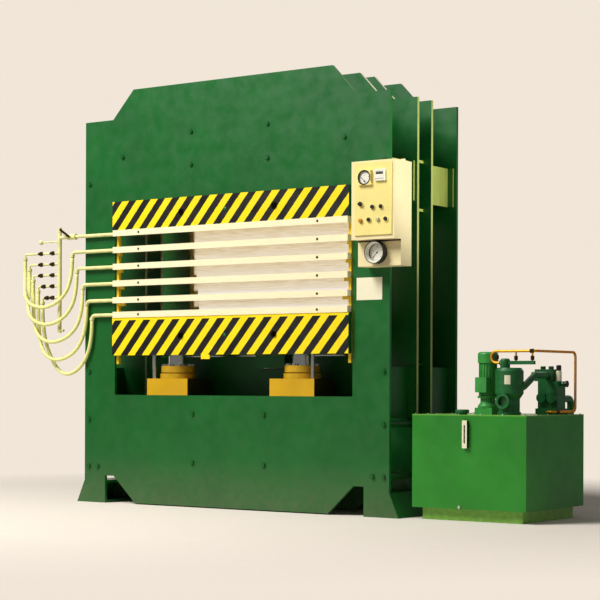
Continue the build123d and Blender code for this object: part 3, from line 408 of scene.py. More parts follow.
def striped_enamel(name, light, dark, plain, sizes, phase, band):
    """Enamel masked by hand into slanting stripes on the front and back faces.

    The masks wander by a few millimetres, as tape laid by hand does. Above the band the face is
    plain yellow, low faces at the front are yellow too, and everything else is frame green.
    """
    material, tree = new_material(name)
    height = place_along(tree, 2)
    across = place_along(tree, 0)
    slant = node(tree, "Math", height, -sizes.stripe_lean, across, operation="MULTIPLY_ADD")
    tape = node(tree, "Math", grain(tree, 40, detail=2.0), 0.008, slant, operation="MULTIPLY_ADD")
    pitches = node(tree, "Math", tape, sizes.stripe_pitch, operation="DIVIDE")
    turns = node(tree, "Math", pitches, phase, operation="SUBTRACT")
    part = node(tree, "Math", turns, operation="FRACT")
    split = sizes.stripe_share
    dark_part = node(tree, "MapRange", part, split - 0.006, split + 0.006)
    yellow = mottled(tree, grain(tree, 150, detail=4.0), light, 0.93, 1.0)
    black = mottled(tree, grain(tree, 50, detail=4.0), dark, 1.0, 1.8)
    below_band = node(tree, "Math", height, band, operation="LESS_THAN")
    masked = node(tree, "Math", dark_part, below_band, operation="MULTIPLY")
    stripes = node(tree, "Mix", masked, data_type="RGBA", i6=yellow, i7=black, output="Result")
    above_ribs = node(tree, "Math", height, sizes.stripe_floor, operation="GREATER_THAN")
    striped = node(tree, "Math", faces_along(tree, 1), above_ribs, operation="MULTIPLY")
    depth = node(tree, "Math", place_along(tree, 1), operation="ABSOLUTE")
    outer = node(tree, "Math", depth, sizes.stripe_reach, operation="GREATER_THAN")
    below_ribs = node(tree, "Math", 1.0, above_ribs, operation="SUBTRACT")
    low_front = node(tree, "Math", outer, below_ribs, operation="MULTIPLY")
    rest = node(tree, "Mix", low_front, data_type="RGBA", i6=plain, i7=light, output="Result")
    paint = node(tree, "Mix", striped, data_type="RGBA", i6=rest, i7=stripes, output="Result")
    return glossed(material, paint, 0.4)


def ground_steel(name, base):
    """Platen steel, ground flat: mirror-like faces with fine lines; the edges are not metal, and
    their pale colour is a painted reflection.
    """
    material, tree = new_material(name)
    flat = faces_along(tree, 2)
    # Grinding lines are about 0.1 mm apart; they are drawn 2.5 mm apart so that they show
    lines = grain(tree, 2.5, stretch=(0.03, 1, 1))
    smears = node(tree, "MapRange", grain(tree, 120, detail=4.0), 0.3, 0.7, 0.12, 0.24)
    edges = node(tree, "Math", 1.0, flat, operation="SUBTRACT")
    duller = node(tree, "Math", edges, 0.25, operation="MULTIPLY")
    # Painted reflection: the edges are not metal and show the pale base colour
    return surfaced(
        material,
        Base_Color=mottled(tree, lines, base, 0.93, 1.05),
        Metallic=flat,
        Roughness=node(tree, "Math", smears, duller, operation="ADD"),
        Normal=node(tree, "Bump", Strength=0.15, Distance=0.0001, Height=lines),
    )


def worked_metal(name, base, gloss, mark, stretch=(1, 1, 1), spread=0.07, dull=0.08):
    """Bare or plated metal: tool marks so many millimetres apart, and finger smears.

    Real tool marks are some tenths of a millimetre apart, and are drawn coarser to show.
    """
    material, tree = new_material(name)
    marks = grain(tree, mark, detail=4.0, stretch=stretch)
    smears = grain(tree, 50, detail=4.0)
    return surfaced(
        material,
        Base_Color=mottled(tree, marks, base, 1 - spread, 1 + spread),
        Metallic=1.0,
        Roughness=node(tree, "MapRange", smears, 0.3, 0.7, gloss, gloss + dull),
        Normal=node(tree, "Bump", Strength=0.2, Distance=0.0002, Height=marks),
    )


def moulded(name, base, gloss=0.4, spread=0.08):
    """Moulded resin or rubber: one colour right through, with a fine skin, worn a little matt.

    The mould's own grain is about 0.3 mm, and is drawn 1.5 mm across to show.
    """
    material, tree = new_material(name)
    fine = grain(tree, 1.5, detail=2.0)
    return surfaced(
        material,
        Base_Color=mottled(tree, grain(tree, 30), base, 1 - spread, 1 + spread),
        Roughness=node(tree, "MapRange", grain(tree, 20), 0.3, 0.7, gloss, gloss + 0.12),
        Normal=node(tree, "Bump", Strength=0.3, Distance=0.0002, Height=fine),
    )


def tank_enamel(name, base, plinth, top):
    """Enamel on folded sheet: a painted highlight along the top fold, and the plinth painted
    lighter and mottled, for the light from the floor and some dust.
    """
    material, tree = new_material(name)
    coat = sprayed_coat(tree, base, 0.1, 400)
    height = place_along(tree, 2)
    # Painted highlight along the top fold
    fold = node(tree, "MapRange", height, top - 0.012, top - 0.002)
    fold_highlight = node(tree, "Math", fold, 0.6, operation="MULTIPLY")
    edged = node(tree, "Mix", fold_highlight, data_type="RGBA", i6=coat, i7=plinth, output="Result")
    # The plinth painted lighter for the light from the floor, and mottled with some dust
    lit_dusty_plinth = mottled(tree, grain(tree, 50, detail=5.0), plinth, 0.75, 1.0)
    low = node(tree, "Math", height, PLINTH_TOP, operation="LESS_THAN")
    paint = node(tree, "Mix", low, data_type="RGBA", i6=edged, i7=lit_dusty_plinth, output="Result")
    return glossed(material, paint, 0.4)


def round_front(name, case, corner, centre):
    """Moulded ABS case of the meter: a black ring round its dial, and cream from there out."""
    material, tree = new_material(name)
    place = node(tree, "TexCoord", output="Object")
    away = node(tree, "VectorMath", place, centre, operation="DISTANCE", output="Value")
    outside = node(tree, "Math", away, METER_RING, operation="GREATER_THAN")
    ring = mottled(tree, grain(tree, 20), case, 1.0, 1.5)
    skin = node(tree, "Mix", outside, data_type="RGBA", i6=ring, i7=corner, output="Result")
    return glossed(material, skin, 0.4, relief=0.0001)


def gauge_body(name, face, body):
    """Moulded level gauge: a cream printed face to the front, on a black body."""
    material, tree = new_material(name)
    printed = mottled(tree, grain(tree, 20, detail=4.0), face, 0.9, 1.0)
    black = mottled(tree, grain(tree, 20), body, 1.0, 1.6)
    front = faces_along(tree, 1)
    skin = node(tree, "Mix", front, data_type="RGBA", i6=black, i7=printed, output="Result")
    return glossed(material, skin, 0.4)


def two_lenses(name, first, second):
    """Lamp lenses of moulded acrylic: smooth and shiny, a little cloudy, each its own colour."""
    material, tree = new_material(name)
    right = node(tree, "Math", place_along(tree, 0), BETWEEN_LAMPS, operation="GREATER_THAN")
    lens = node(tree, "Mix", right, data_type="RGBA", i6=first, i7=second, output="Result")
    haze = node(tree, "Math", grain(tree, 6), 0.3, operation="MULTIPLY")
    deep = tint(first, 0.5)
    cloudy = node(tree, "Mix", haze, data_type="RGBA", i6=lens, i7=deep, output="Result")
    return glossed(material, cloudy, 0.18, relief=0.0001)


def dress(material, *names):
    """Give CAD nodes their material."""
    for name in names:
        mesh = NODES[name].data
        mesh.materials.clear()
        mesh.materials.append(material)


def from_bmesh(name, solid):
    """A new object from a bmesh."""
    bmesh.ops.recalc_face_normals(solid, faces=solid.faces)
    mesh = bpy.data.meshes.new(name)
    solid.to_mesh(mesh)
    solid.free()
    piece = bpy.data.objects.new(name, mesh)
    bpy.context.collection.objects.link(piece)
    return piece


def keep(name, solid, material, body):
    """Turn a bmesh into a named piece with its material and, if it has one, its body."""
    piece = from_bmesh(name, solid)
    piece.data.materials.append(material)
    if body:
        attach(piece, body)
    return piece


def circle(segments):
    """Cosines and sines of even steps round a circle."""
    angles = [2 * math.pi * step / segments for step in range(segments)]
    return [(math.cos(angle), math.sin(angle)) for angle in angles]


def join_rows(solid, low, high, closed=True):
    """Join two rows of points with four-sided faces."""
    for step in range(len(low) if closed else len(low) - 1):
        after = (step + 1) % len(low)
        solid.faces.new((low[step], low[after], high[after], high[step]))


def close_ends(solid, rings):
    """Close the two ends of a row of rings."""
    solid.faces.new(list(reversed(rings[0])))
    solid.faces.new(rings[-1])


def add_block(solid, low, high, bevel=0.0):
    """Add a box with softened edges to a bmesh."""
    made = bmesh.ops.create_cube(solid, size=1.0)
    size = [b - a for a, b in zip(low, high)]
    middle = [(a + b) / 2 for a, b in zip(low, high)]
    bmesh.ops.scale(solid, vec=size, verts=made["verts"])
    bmesh.ops.translate(solid, vec=middle, verts=made["verts"])
    if bevel:
        edges = {edge for vert in made["verts"] for edge in vert.link_edges}
        bmesh.ops.bevel(
            solid, geom=list(edges), offset=bevel, segments=2, affect="EDGES", profile=0.7
        )


def add_turned(solid, profile, centre, axis, segments=32):
    """Add a closed turned solid to a bmesh: profile holds (radius, height) along the axis."""
    turn = Vector((0, 0, 1)).rotation_difference(Vector(axis)).to_matrix()
    rings = []
    for radius, height in profile:
        spots = [Vector((radius * x, radius * y, height)) for x, y in circle(segments)]
        rings.append([solid.verts.new(turn @ spot + Vector(centre)) for spot in spots])
    for low, high in zip(rings, rings[1:]):
        join_rows(solid, low, high)
    close_ends(solid, rings)


def add_band(solid, outline, centre, segments=64):
    """Add a ring that looks to the front: outline holds (radius, distance ahead) pairs."""
    loops = []
    for radius, ahead in outline:
        loop = []
        for x, z in circle(segments):
            spot = (centre[0] + radius * x, centre[1] - ahead, centre[2] + radius * z)
            loop.append(solid.verts.new(spot))
        loops.append(loop)
    for low, high in zip(loops, loops[1:] + loops[:1]):
        join_rows(solid, low, high)


def add_bezel(solid, half, hole, centre, depth, segments=48):
    """Add a square frame with a round hole that looks to the front."""
    loops = []
    for ahead in (0.0, depth):
        for square in (False, True):
            loop = []
            for x, z in circle(segments):
                reach = half / max(abs(x), abs(z)) if square else hole
                spot = (centre[0] + reach * x, centre[1] - ahead, centre[2] + reach * z)
                loop.append(solid.verts.new(spot))
            loops.append(loop)
    for low, high in ((0, 1), (1, 3), (3, 2), (2, 0)):
        join_rows(solid, loops[low], loops[high])


def add_mark(solid, centre, angle, reach, size, depth=0.00008):
    """Add one mark of a dial, its length along an angle from the dial's centre."""
    along = Vector((math.cos(angle), 0, math.sin(angle)))
    across = Vector((-math.sin(angle), 0, math.cos(angle)))
    corners = []
    for ahead in (0.0, depth):
        for far, side in ((0, -1), (1, -1), (1, 1), (0, 1)):
            spot = Vector(centre) + along * (reach - far * size[0]) + across * side * size[1] / 2
            corners.append(solid.verts.new(spot - Vector((0, ahead, 0))))
    back, front = corners[:4], corners[4:]
    solid.faces.new(back)
    solid.faces.new(front)
    for step in range(4):
        after = (step + 1) % 4
        solid.faces.new((back[step], back[after], front[after], front[step]))


def add_numeral(solid, words, centre, size):
    """Add a plain number that looks to the front."""
    data = bpy.data.curves.new("numeral", "FONT")
    data.body = words
    data.size = size
    data.extrude = 0.00004
    data.align_x = "CENTER"
    data.align_y = "CENTER"
    writing = bpy.data.objects.new("numeral", data)
    mesh = bpy.data.meshes.new_from_object(writing)
    upright = Matrix.Rotation(math.radians(90), 4, "X")
    mesh.transform(Matrix.Translation(Vector(centre)) @ upright)
    solid.from_mesh(mesh)
    bpy.data.objects.remove(writing)
    bpy.data.curves.remove(data)
    bpy.data.meshes.remove(mesh)


def dial_marks(spot, start, sweep, steps, reach, sizes, numbers):
    """Marks and plain numbers of a dial, clockwise over a sweep in degrees from a start.

    Steps are (fine, coarse) counts, sizes are (length, width) of a coarse and a fine mark, and
    numbers are their distance from the spot, the value of one coarse step, and their height.
    """
    marks = bmesh.new()
    fine, coarse = steps
    for step in range(fine + 1):
        angle = math.radians(start - sweep * step / fine)
        add_mark(marks, spot, angle, reach, sizes[0 if step % (fine // coarse) == 0 else 1])
    away, value, height = numbers
    for step in range(coarse + 1):
        angle = math.radians(start - sweep * step / coarse)
        along = Vector((math.cos(angle), 0, math.sin(angle)))
        place = spot + away * along - Vector((0, 0.00005, 0))
        add_numeral(marks, str(value * step), place, height)
    return marks


def hex_head(solid, centre, axis, flats, height):
    """Add a bolt head with a chamfered top."""
    point = flats / math.sqrt(3)
    outline = [(point, 0), (point, height * 0.8), (point * 0.85, height)]
    add_turned(solid, outline, centre, axis, segments=6)


def hose_line(route):
    """The points of a smooth curve whose control points are the route's points."""
    data = bpy.data.curves.new("hose_line", "CURVE")
    data.dimensions = "3D"
    data.resolution_u = 12
    spline = data.splines.new("NURBS")
    spline.points.add(len(route) - 1)
    for point, spot in zip(spline.points, route):
        point.co = (*spot, 1.0)
    spline.order_u = 3
    spline.use_endpoint_u = True
    curve = bpy.data.objects.new("hose_line", data)
    bpy.context.collection.objects.link(curve)
    line = bpy.data.meshes.new_from_object(curve)
    spots = [vertex.co.copy() for vertex in line.vertices]
    bpy.data.meshes.remove(line)
    bpy.data.objects.remove(curve)
    return spots


def tube(spots, radius, segments=16):
    """A closed smooth tube round a line of points."""
    solid = bmesh.new()
    rings = []
    side = Vector((0, 1, 0))
    for place, spot in enumerate(spots):
        before = spots[max(0, place - 1)]
        after = spots[min(len(spots) - 1, place + 1)]
        along = (after - before).normalized()
        side = (side - along * side.dot(along)).normalized()
        up = along.cross(side)
        round_spot = [spot + (side * x + up * y) * radius for x, y in circle(segments)]
        rings.append([solid.verts.new(corner) for corner in round_spot])
    for low, high in zip(rings, rings[1:]):
        join_rows(solid, low, high)
    close_ends(solid, rings)
    for face in solid.faces:
        face.smooth = len(face.verts) == 4
    return solid


class PRESS_OT_frame(bpy.types.Operator):
    """Finish the frame plates, webs, feet and their bolts"""

    bl_idname = "press.frame"
    bl_label = "Frame"

    def execute(self, context):
        colours = context.scene.press_colours
        # Enamel over flame-cut plate: wide calm faces, half glossy, greyed by dust at the feet, and
        # a lighter green on the sideways faces as painted highlight
        outer = plate_enamel(
            "outer_plate_enamel",
            colours.frame_green,
            tint(colours.frame_green, 1.5),
            colours.dust,
        )
        dress(outer, "frame_plate_1", "frame_plate_4", "feet")
        # The inner plates' cut edges carry a pale painted highlight, and the window's edges a paler
        # one, which draw the pale upright lines
        inner = plate_enamel(
            "inner_plate_enamel",
            colours.frame_green,
            colours.edge_highlight,
            colours.dust,
            window=tuple(colours.plate_cream),
        )
        dress(inner, "frame_plate_2", "frame_plate_3")
        # The same enamel a shade darker, so that bolt heads stand out from the plate
        dress(enamel("bolt_enamel", tint(colours.frame_green, 0.8)), "frame_bolts")
        # Enamel on the webs, with a painted highlight on the sideways faces of the upper ones,
        # where light falls between the plates
        webs = plate_enamel(
            "web_enamel", colours.web_green, colours.web_highlight, colours.dust, WEB_HIGHLIGHT_HEIGHT
        )
        dress(webs, "web_plates", "frame_spacers")

        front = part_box("frame_plate_1")[0][1]
        left, bottom, right, top = BARE_PLATE
        plate = bmesh.new()
        add_block(plate, (left, front - PLATE_THICKNESS, bottom), (right, front, top), bevel=0.0006)
        # Enamelled sheet: the flat, pale patch under the gauge
        cream = enamel("bare_plate_enamel", colours.plate_cream, gloss=0.35, spread=0.03)
        keep("bare_plate", plate, cream, "press")
        screws = bmesh.new()
        for x in (left + PLATE_MARGIN, right - PLATE_MARGIN):
            for z in (bottom + PLATE_MARGIN, top - PLATE_MARGIN):
                place = (x, front - PLATE_THICKNESS, z)
                add_turned(screws, SCREW_DOME, place, (0, -1, 0), segments=16)
        # Zinc-plated steel: small grey glints in the plate's corners
        zinc = worked_metal("zinc_plate_screws", colours.bright_steel, 0.35, 4)
        keep("plate_screws", screws, zinc, "press")

        lip = bmesh.new()
        add_block(lip, *SCREEN_LIP)
        # Matt moulded rubber: a dark line that closes the slot over the screen
        rubber = moulded("lip_rubber", colours.ink, gloss=0.6)
        keep("screen_lip", lip, rubber, "press")
        return {"FINISHED"}


class PRESS_OT_opening(bpy.types.Operator):
    """Finish the beam, bolster, platens and racks"""

    bl_idname = "press.opening"
    bl_label = "Press opening"

    def execute(self, context):
        colours = context.scene.press_colours
        sizes = context.scene.press_sizes
        for node_name, phase, band in (
            ("upper_beam", sizes.beam_phase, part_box("upper_beam")[1][2] + 0.01),
            ("bolster", sizes.bolster_phase, sizes.bolster_band),
        ):
            # Enamel masked with tape: the loud yellow and black stripes round the opening
            stripes = striped_enamel(
                f"striped_enamel_{node_name}",
                colours.stripe_yellow,
                colours.stripe_black,
                colours.frame_green,
                sizes,
                phase,
                band,
            )
            dress(stripes, node_name)
        # Ground steel: warm mirrors on the flats, and pale even lines along the edges, where the
        # reflection is painted
        platens = [f"platen_{number}" for number in range(1, 7)]
        dress(ground_steel("ground_steel", colours.steel), *platens)
        # Enamel on the racks' cut teeth: small yellow steps beside the platens
        dress(enamel("rack_enamel", colours.rack_yellow, gloss=0.4), "step_racks")

        # Blackened steel: dark heads that sink into the stripes
        dark = worked_metal("blackened_bolts", tint(colours.stripe_black, 1.6), 0.4, 4)
        # Enamel over the pipe plugs: green dots between the stripes
        green = enamel("plug_enamel", colours.frame_green)
        for body, node_name in (("press", "upper_beam"), ("bolster", "bolster")):
            low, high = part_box(node_name)
            height = (max(low[2], sizes.stripe_floor) + high[2]) / 2
            sides = tuple(zip((low[1], high[1]), (-1, 1), BOLT_RISES))
            heads = bmesh.new()
            for x in STRIPE_BOLTS:
                for y, way, rise in sides:
                    hex_head(heads, (x, y, height), (0, way, 0), sizes.bolt_d, rise)
            keep(f"{node_name}_bolts", heads, dark, body)
            plugs = bmesh.new()
            radius = sizes.bolt_d * 0.3
            dome = [(radius, 0), (radius * 0.95, 0.003), (radius * 0.6, PLUG_RISE)]
            for y, way, _ in sides:
                add_turned(plugs, dome, (0, y, height), (0, way, 0), segments=24)
            keep(f"{node_name}_plugs", plugs, green, body)

        # Tarnished brass: small brown dots at both ends of each platen
        brass = worked_metal("brass_plugs", colours.fitting_brown, 0.35, 3)
        radius = sizes.plug_d / 2
        rim = [(radius, 0), (radius, 0.002), (radius * 0.8, 0.003), (radius * 0.4, 0.003)]
        for number, platen in enumerate(platens, 1):
            low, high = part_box(platen)
            plugs = bmesh.new()
            for x in (-sizes.plug_x, sizes.plug_x):
                place = (x, low[1], (low[2] + high[2]) / 2)
                add_turned(plugs, rim, place, (0, -1, 0), segments=24)
            body = {1: "press", 6: "bolster"}.get(number, platen)
            keep(f"platen_plugs_{number}", plugs, brass, body)
        return {"FINISHED"}


class PRESS_OT_cylinders(bpy.types.Operator):
    """Finish the cylinders, glands, rams and stop rods"""

    bl_idname = "press.cylinders"
    bl_label = "Cylinders"

    def execute(self, context):
        colours = context.scene.press_colours
        # Enamel on the seat blocks: clean yellow fronts, and sides painted dark brown as painted
        # shade
        oily = plate_enamel("seat_enamel", colours.seat_yellow, colours.seat_side_shade, colours.dust)
        dress(oily, "cylinder_seats")
        # Enamel on rough castings: the same yellow, darker and blotchy
        casting = enamel("cylinder_enamel", tint(colours.seat_yellow, 0.9), spread=0.12, cloud=80)
        dress(casting, "cylinder_barrels", "gland_rings")
        # Hard chrome, polished: near mirrors with long upright glints
        chrome = worked_metal(
            "hard_chrome", colours.bright_steel, 0.1, 4, stretch=(1, 1, 0.1), dull=0.05
        )
        dress(chrome, "rams")
        # Turned steel: softer glints, with the tool's rings across the rods
        turned = worked_metal("turned_steel", colours.bright_steel, 0.25, 3, stretch=(1, 1, 3))
        dress(turned, "stop_rods")
        # Zinc-plated steel: a ring of small bright heads
        dress(worked_metal("plated_bolts", colours.bright_steel, 0.3, 4), "gland_bolts")
        # Enamel on the oil pipe: green, half lost in the shade between the plates
        dress(enamel("oil_pipe_enamel", colours.unit_green), "main_oil_pipe")
        return {"FINISHED"}


class PRESS_OT_water(bpy.types.Operator):
    """Finish the water pipes and make the hoses"""

    bl_idname = "press.water"
    bl_label = "Water pipes and hoses"

    def execute(self, context):
        colours = context.scene.press_colours
        sizes = context.scene.press_sizes
        # Enamel brushed on pipe: pale yellow, uneven from run to run
        cream = enamel("pipe_enamel", colours.pipe_cream, spread=0.12, cloud=80)
        dress(cream, "supply_pipe", "header", *[f"platen_pipe_{number}" for number in range(2, 7)])
        # Tarnished bronze: dark knots that break up the pale pipes
        bronze = worked_metal("dark_bronze", colours.fitting_brown, 0.4, 6)
        dress(bronze, "valve_lever")
        unions = bmesh.new()
        for number, height in BRANCH_HEIGHTS.items():
            for place in (NEAR_UNION, FAR_UNIONS[number]):
                centre = (HEADER_X - place, HOSE_ROUTES[number][0][1], height)
                add_turned(unions, UNION_OUTLINE, centre, (1, 0, 0), segments=6)
        keep("branch_unions", unions, bronze, "press")
        # Extruded rubber: one even cream, matt beside the enamelled pipes
        rubber = moulded("hose_rubber", colours.hose_cream, gloss=0.5)
        for number, route in HOSE_ROUTES.items():
            spots = hose_line(route)
            line = tube(spots, sizes.hose_d / 2)
            hose = keep(f"water_hose_{number - 1}", line, rubber, None)
            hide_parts(f"hose_{number - 1}")
            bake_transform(hose)
        return {"FINISHED"}


class PRESS_OT_control_box(bpy.types.Operator):
    """Finish the control box and its gauges, and add their dials"""

    bl_idname = "press.control_box"
    bl_label = "Control box"

    def execute(self, context):
        colours = context.scene.press_colours
        # Stoved enamel on folded sheet: smooth, warm and clean
        shell = enamel("cabinet_enamel", colours.cabinet_cream, spread=0.03)
        dress(shell, "cabinet", "gauge_box")
        # The door's own coat: a yellower cream than the shell's, whose paler cream is partly
        # painted light for the bright right side of the box
        dress(enamel("door_enamel", colours.door_cream, spread=0.04), "cabinet_door")
        # Moulded phenolic resin: near black with a soft shine on the rounded edges
        black = moulded("phenolic_resin", colours.black)
        dress(black, "pressure_gauge", "selector", *[f"button_{number}" for number in range(1, 5)])
        low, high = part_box("meter")
        middle = Vector(((low[0] + high[0]) / 2, low[1], (low[2] + high[2]) / 2))
        # Moulded ABS: the square case reads as a black ring on a cream door
        case = round_front("meter_case_resin", colours.black, colours.door_cream, tuple(middle))
        dress(case, "meter")
        # Moulded ABS: a plain off-white block
        dress(moulded("timer_resin", colours.dial_white), "timer")
        # Moulded acrylic: two small shiny beads
        dress(two_lenses("lamp_lenses", colours.lamp_amber, colours.lamp_pale), "lamps")
        # Enamelled brass strip: thin dark red hands
        dress(moulded("pointer_enamel", colours.pointer), "meter_pointer", "gauge_pointer")

        # Enamelled tin: a flat off-white that carries the marks
        white = moulded("dial_enamel", colours.dial_white, gloss=0.3, spread=0.03)
        # Printing ink: matt and nearly black
        ink = moulded("dial_ink", colours.ink, gloss=0.5)
        self.gauge(black, white, ink)
        self.meter(middle, case, white, ink)

        low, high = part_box("gauge_box")
        shadow_strip = bmesh.new()
        bottom = (low[0], low[1] - 0.0015, high[2] - 0.013)
        add_block(shadow_strip, bottom, (high[0], low[1], high[2] - 0.001), bevel=0.0004)
        # A dark strip along the top of the gauge box front: the painted shadow under the cabinet
        keep("cabinet_shadow_strip", shadow_strip, moulded("shadow_strip_black", colours.ink), "press")

        low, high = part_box("timer")
        middle_x = (low[0] + high[0]) / 2
        (bottom, top), (rib_bottom, rib_top) = TIMER_SLOTS
        window = bmesh.new()
        add_block(
            window,
            (middle_x - 0.033, high[1] - 0.0149, bottom),
            (middle_x + 0.033, high[1] - 0.0139, top),
        )
        add_block(
            window,
            (low[0] + 0.006, low[1] - 0.0006, rib_bottom),
            (high[0] - 0.006, low[1], rib_top),
        )
        keep("timer_window", window, ink, "door")
        return {"FINISHED"}

    def gauge(self, black, white, ink):
        """Deep rim, liner, dial, marks and numbers of the pressure gauge."""
        low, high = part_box("pressure_gauge")
        middle = Vector(((low[0] + high[0]) / 2, low[1] + 0.014, (low[2] + high[2]) / 2))
        front = (middle.x, low[1], middle.z)
        rim = bmesh.new()
        add_band(rim, GAUGE_RIM, front)
        keep("gauge_rim", rim, black, "press")
        liner = bmesh.new()
        add_band(liner, GAUGE_LINER, front)
        keep("gauge_liner", liner, white, "press")
        face = bmesh.new()
        add_turned(face, [(0.0725, 0), (0.0725, FACE_DEPTH)], middle, (0, -1, 0), segments=64)
        keep("gauge_face", face, white, "press")
        marks = dial_marks(
            middle - Vector((0, FACE_DEPTH, 0)),
            225,
            270,
            (40, 4),
            0.066,
            ((0.010, 0.0016), (0.006, 0.0009)),
            (0.047, 10, 0.014),
        )
        keep("gauge_marks", marks, ink, "press")

    def meter(self, middle, case, white, ink):
        """Round front, dial, marks and numbers of the panel meter."""
        bezel = bmesh.new()
        add_bezel(bezel, 0.0522, 0.0515, middle + Vector((0, 0.004, 0)), 0.0035)
        keep("meter_bezel", bezel, case, "door")
        face = bmesh.new()
        back = middle.y + 0.012
        half = 0.051
        add_block(
            face,
            (middle.x - half, back - FACE_DEPTH, middle.z - half),
            (middle.x + half, back, middle.z + half),
        )
        keep("meter_face", face, white, "door")
        marks = dial_marks(
            Vector((middle.x, back - FACE_DEPTH, middle.z - 0.03125)),
            135,
            90,
            (10, 2),
            0.068,
            ((0.009, 0.0014), (0.005, 0.0008)),
            (0.052, 50, 0.010),
        )
        keep("meter_marks", marks, ink, "door")


class PRESS_OT_power_unit(bpy.types.Operator):
    """Finish the tank, motor, pump, valves and copper pipes"""

    bl_idname = "press.power_unit"
    bl_label = "Power unit"

    def execute(self, context):
        colours = context.scene.press_colours
        low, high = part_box("tank_lid")
        # Enamel on folded sheet: the brightest green, with a painted highlight on the top edge, and
        # a foot painted lighter for the light from the floor, with some dust
        sheet = tank_enamel("tank_enamel", colours.tank_green, colours.tank_lit_green, high[2])
        dress(sheet, "tank", "tank_lid")
        # Enamel on sand castings: dark and blotchy over a rough skin
        casting = enamel("casting_enamel", colours.unit_green, spread=0.2, cloud=50)
        dress(casting, "pump_unit", "valve_block", "filler_cap")
        # Enamel on the motor's smoother shell: lighter, and less blotchy
        dress(enamel("motor_enamel", colours.motor_green, spread=0.12, cloud=80), "motor")
        # Moulded ABS with a printed face: a cream strip on the tank's green
        dress(gauge_body("level_gauge_resin", colours.plate_cream, colours.black), "level_gauge")
        # Moulded phenolic resin: a black knob with a soft shine
        dress(moulded("phenolic_knob", colours.black), "relief_knob")
        # Drawn copper tube, a little dulled by handling: thin orange lines
        copper = worked_metal("copper_tube", colours.copper, 0.48, 30, spread=0.05)
        dress(copper, "copper_pipes")

        bolts = bmesh.new()
        count, inset = LID_BOLTS
        for step in range(count):
            x = low[0] + inset + (high[0] - low[0] - 2 * inset) * step / (count - 1)
            y = low[1] + inset + (high[1] - low[1] - 2 * inset) * step / (count - 1)
            rows = ((x, low[1] + inset), (x, high[1] - inset))
            ends = ((low[0] + inset, y), (high[0] - inset, y))
            for spot in rows + ends:
                hex_head(bolts, (*spot, high[2]), (0, 0, 1), 0.013, 0.006)
        across, height = DRAIN_PLUG
        hex_head(bolts, (across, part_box("tank")[0][1], height), (0, -1, 0), 0.024, 0.012)
        # Zinc-plated steel: small grey heads round the lid
        zinc = worked_metal("zinc_plate_bolts", colours.bright_steel, 0.4, 4)
        keep("tank_bolts", bolts, zinc, "press")

        self.pump_plate(colours)
        self.relief(colours)
        return {"FINISHED"}

    def pump_plate(self, colours):
        """A small bare plate bent round the pump."""
        middle, radius, (bottom, top), depth = PUMP_PLATE
        solid = bmesh.new()
        rows = []
        for ahead, height in ((0.0, bottom), (0.0, top), (depth, top), (depth, bottom)):
            row = []
            for step in range(13):
                angle = math.radians(-70 + 24 * (step / 12 - 0.5))
                reach = radius + ahead
                x = middle[0] + reach * math.cos(angle)
                row.append(solid.verts.new((x, middle[1] + reach * math.sin(angle), height)))
            rows.append(row)
        for low, high in zip(rows, rows[1:] + rows[:1]):
            join_rows(solid, low, high, closed=False)
        for end in (0, -1):
            solid.faces.new([row[end] for row in rows])
        # Enamelled sheet: a small pale patch on the dark pump
        cream = enamel("pump_plate_enamel", colours.plate_cream, gloss=0.35, spread=0.03)
        keep("pump_plate", solid, cream, "press")

    def relief(self, colours):
        """Pale sleeve and dark cap over the relief valve, and unions on the copper pipe."""
        sleeve = bmesh.new()
        add_turned(sleeve, SLEEVE_OUTLINE, RELIEF_VALVE, (0, 0, 1))
        # Enamel on a turned sleeve: a small pale cylinder
        cream = enamel("relief_enamel", colours.plate_cream, gloss=0.3)
        keep("relief_sleeve", sleeve, cream, "press")
        top = bmesh.new()
        add_turned(top, CAP_OUTLINE, RELIEF_VALVE, (0, 0, 1), segments=20)
        # Moulded phenolic resin: the sleeve's black cap
        keep("relief_cap", top, moulded("phenolic_cap", colours.black), "press")
        nuts = bmesh.new()
        for place, axis in COPPER_UNIONS:
            add_turned(nuts, NUT_OUTLINE, place, axis, segments=6)
        # Blackened steel: dark joints along the bright copper
        dark = worked_metal("blackened_unions", tint(colours.fitting_brown, 0.7), 0.4, 4)
        keep("copper_unions", nuts, dark, "press")


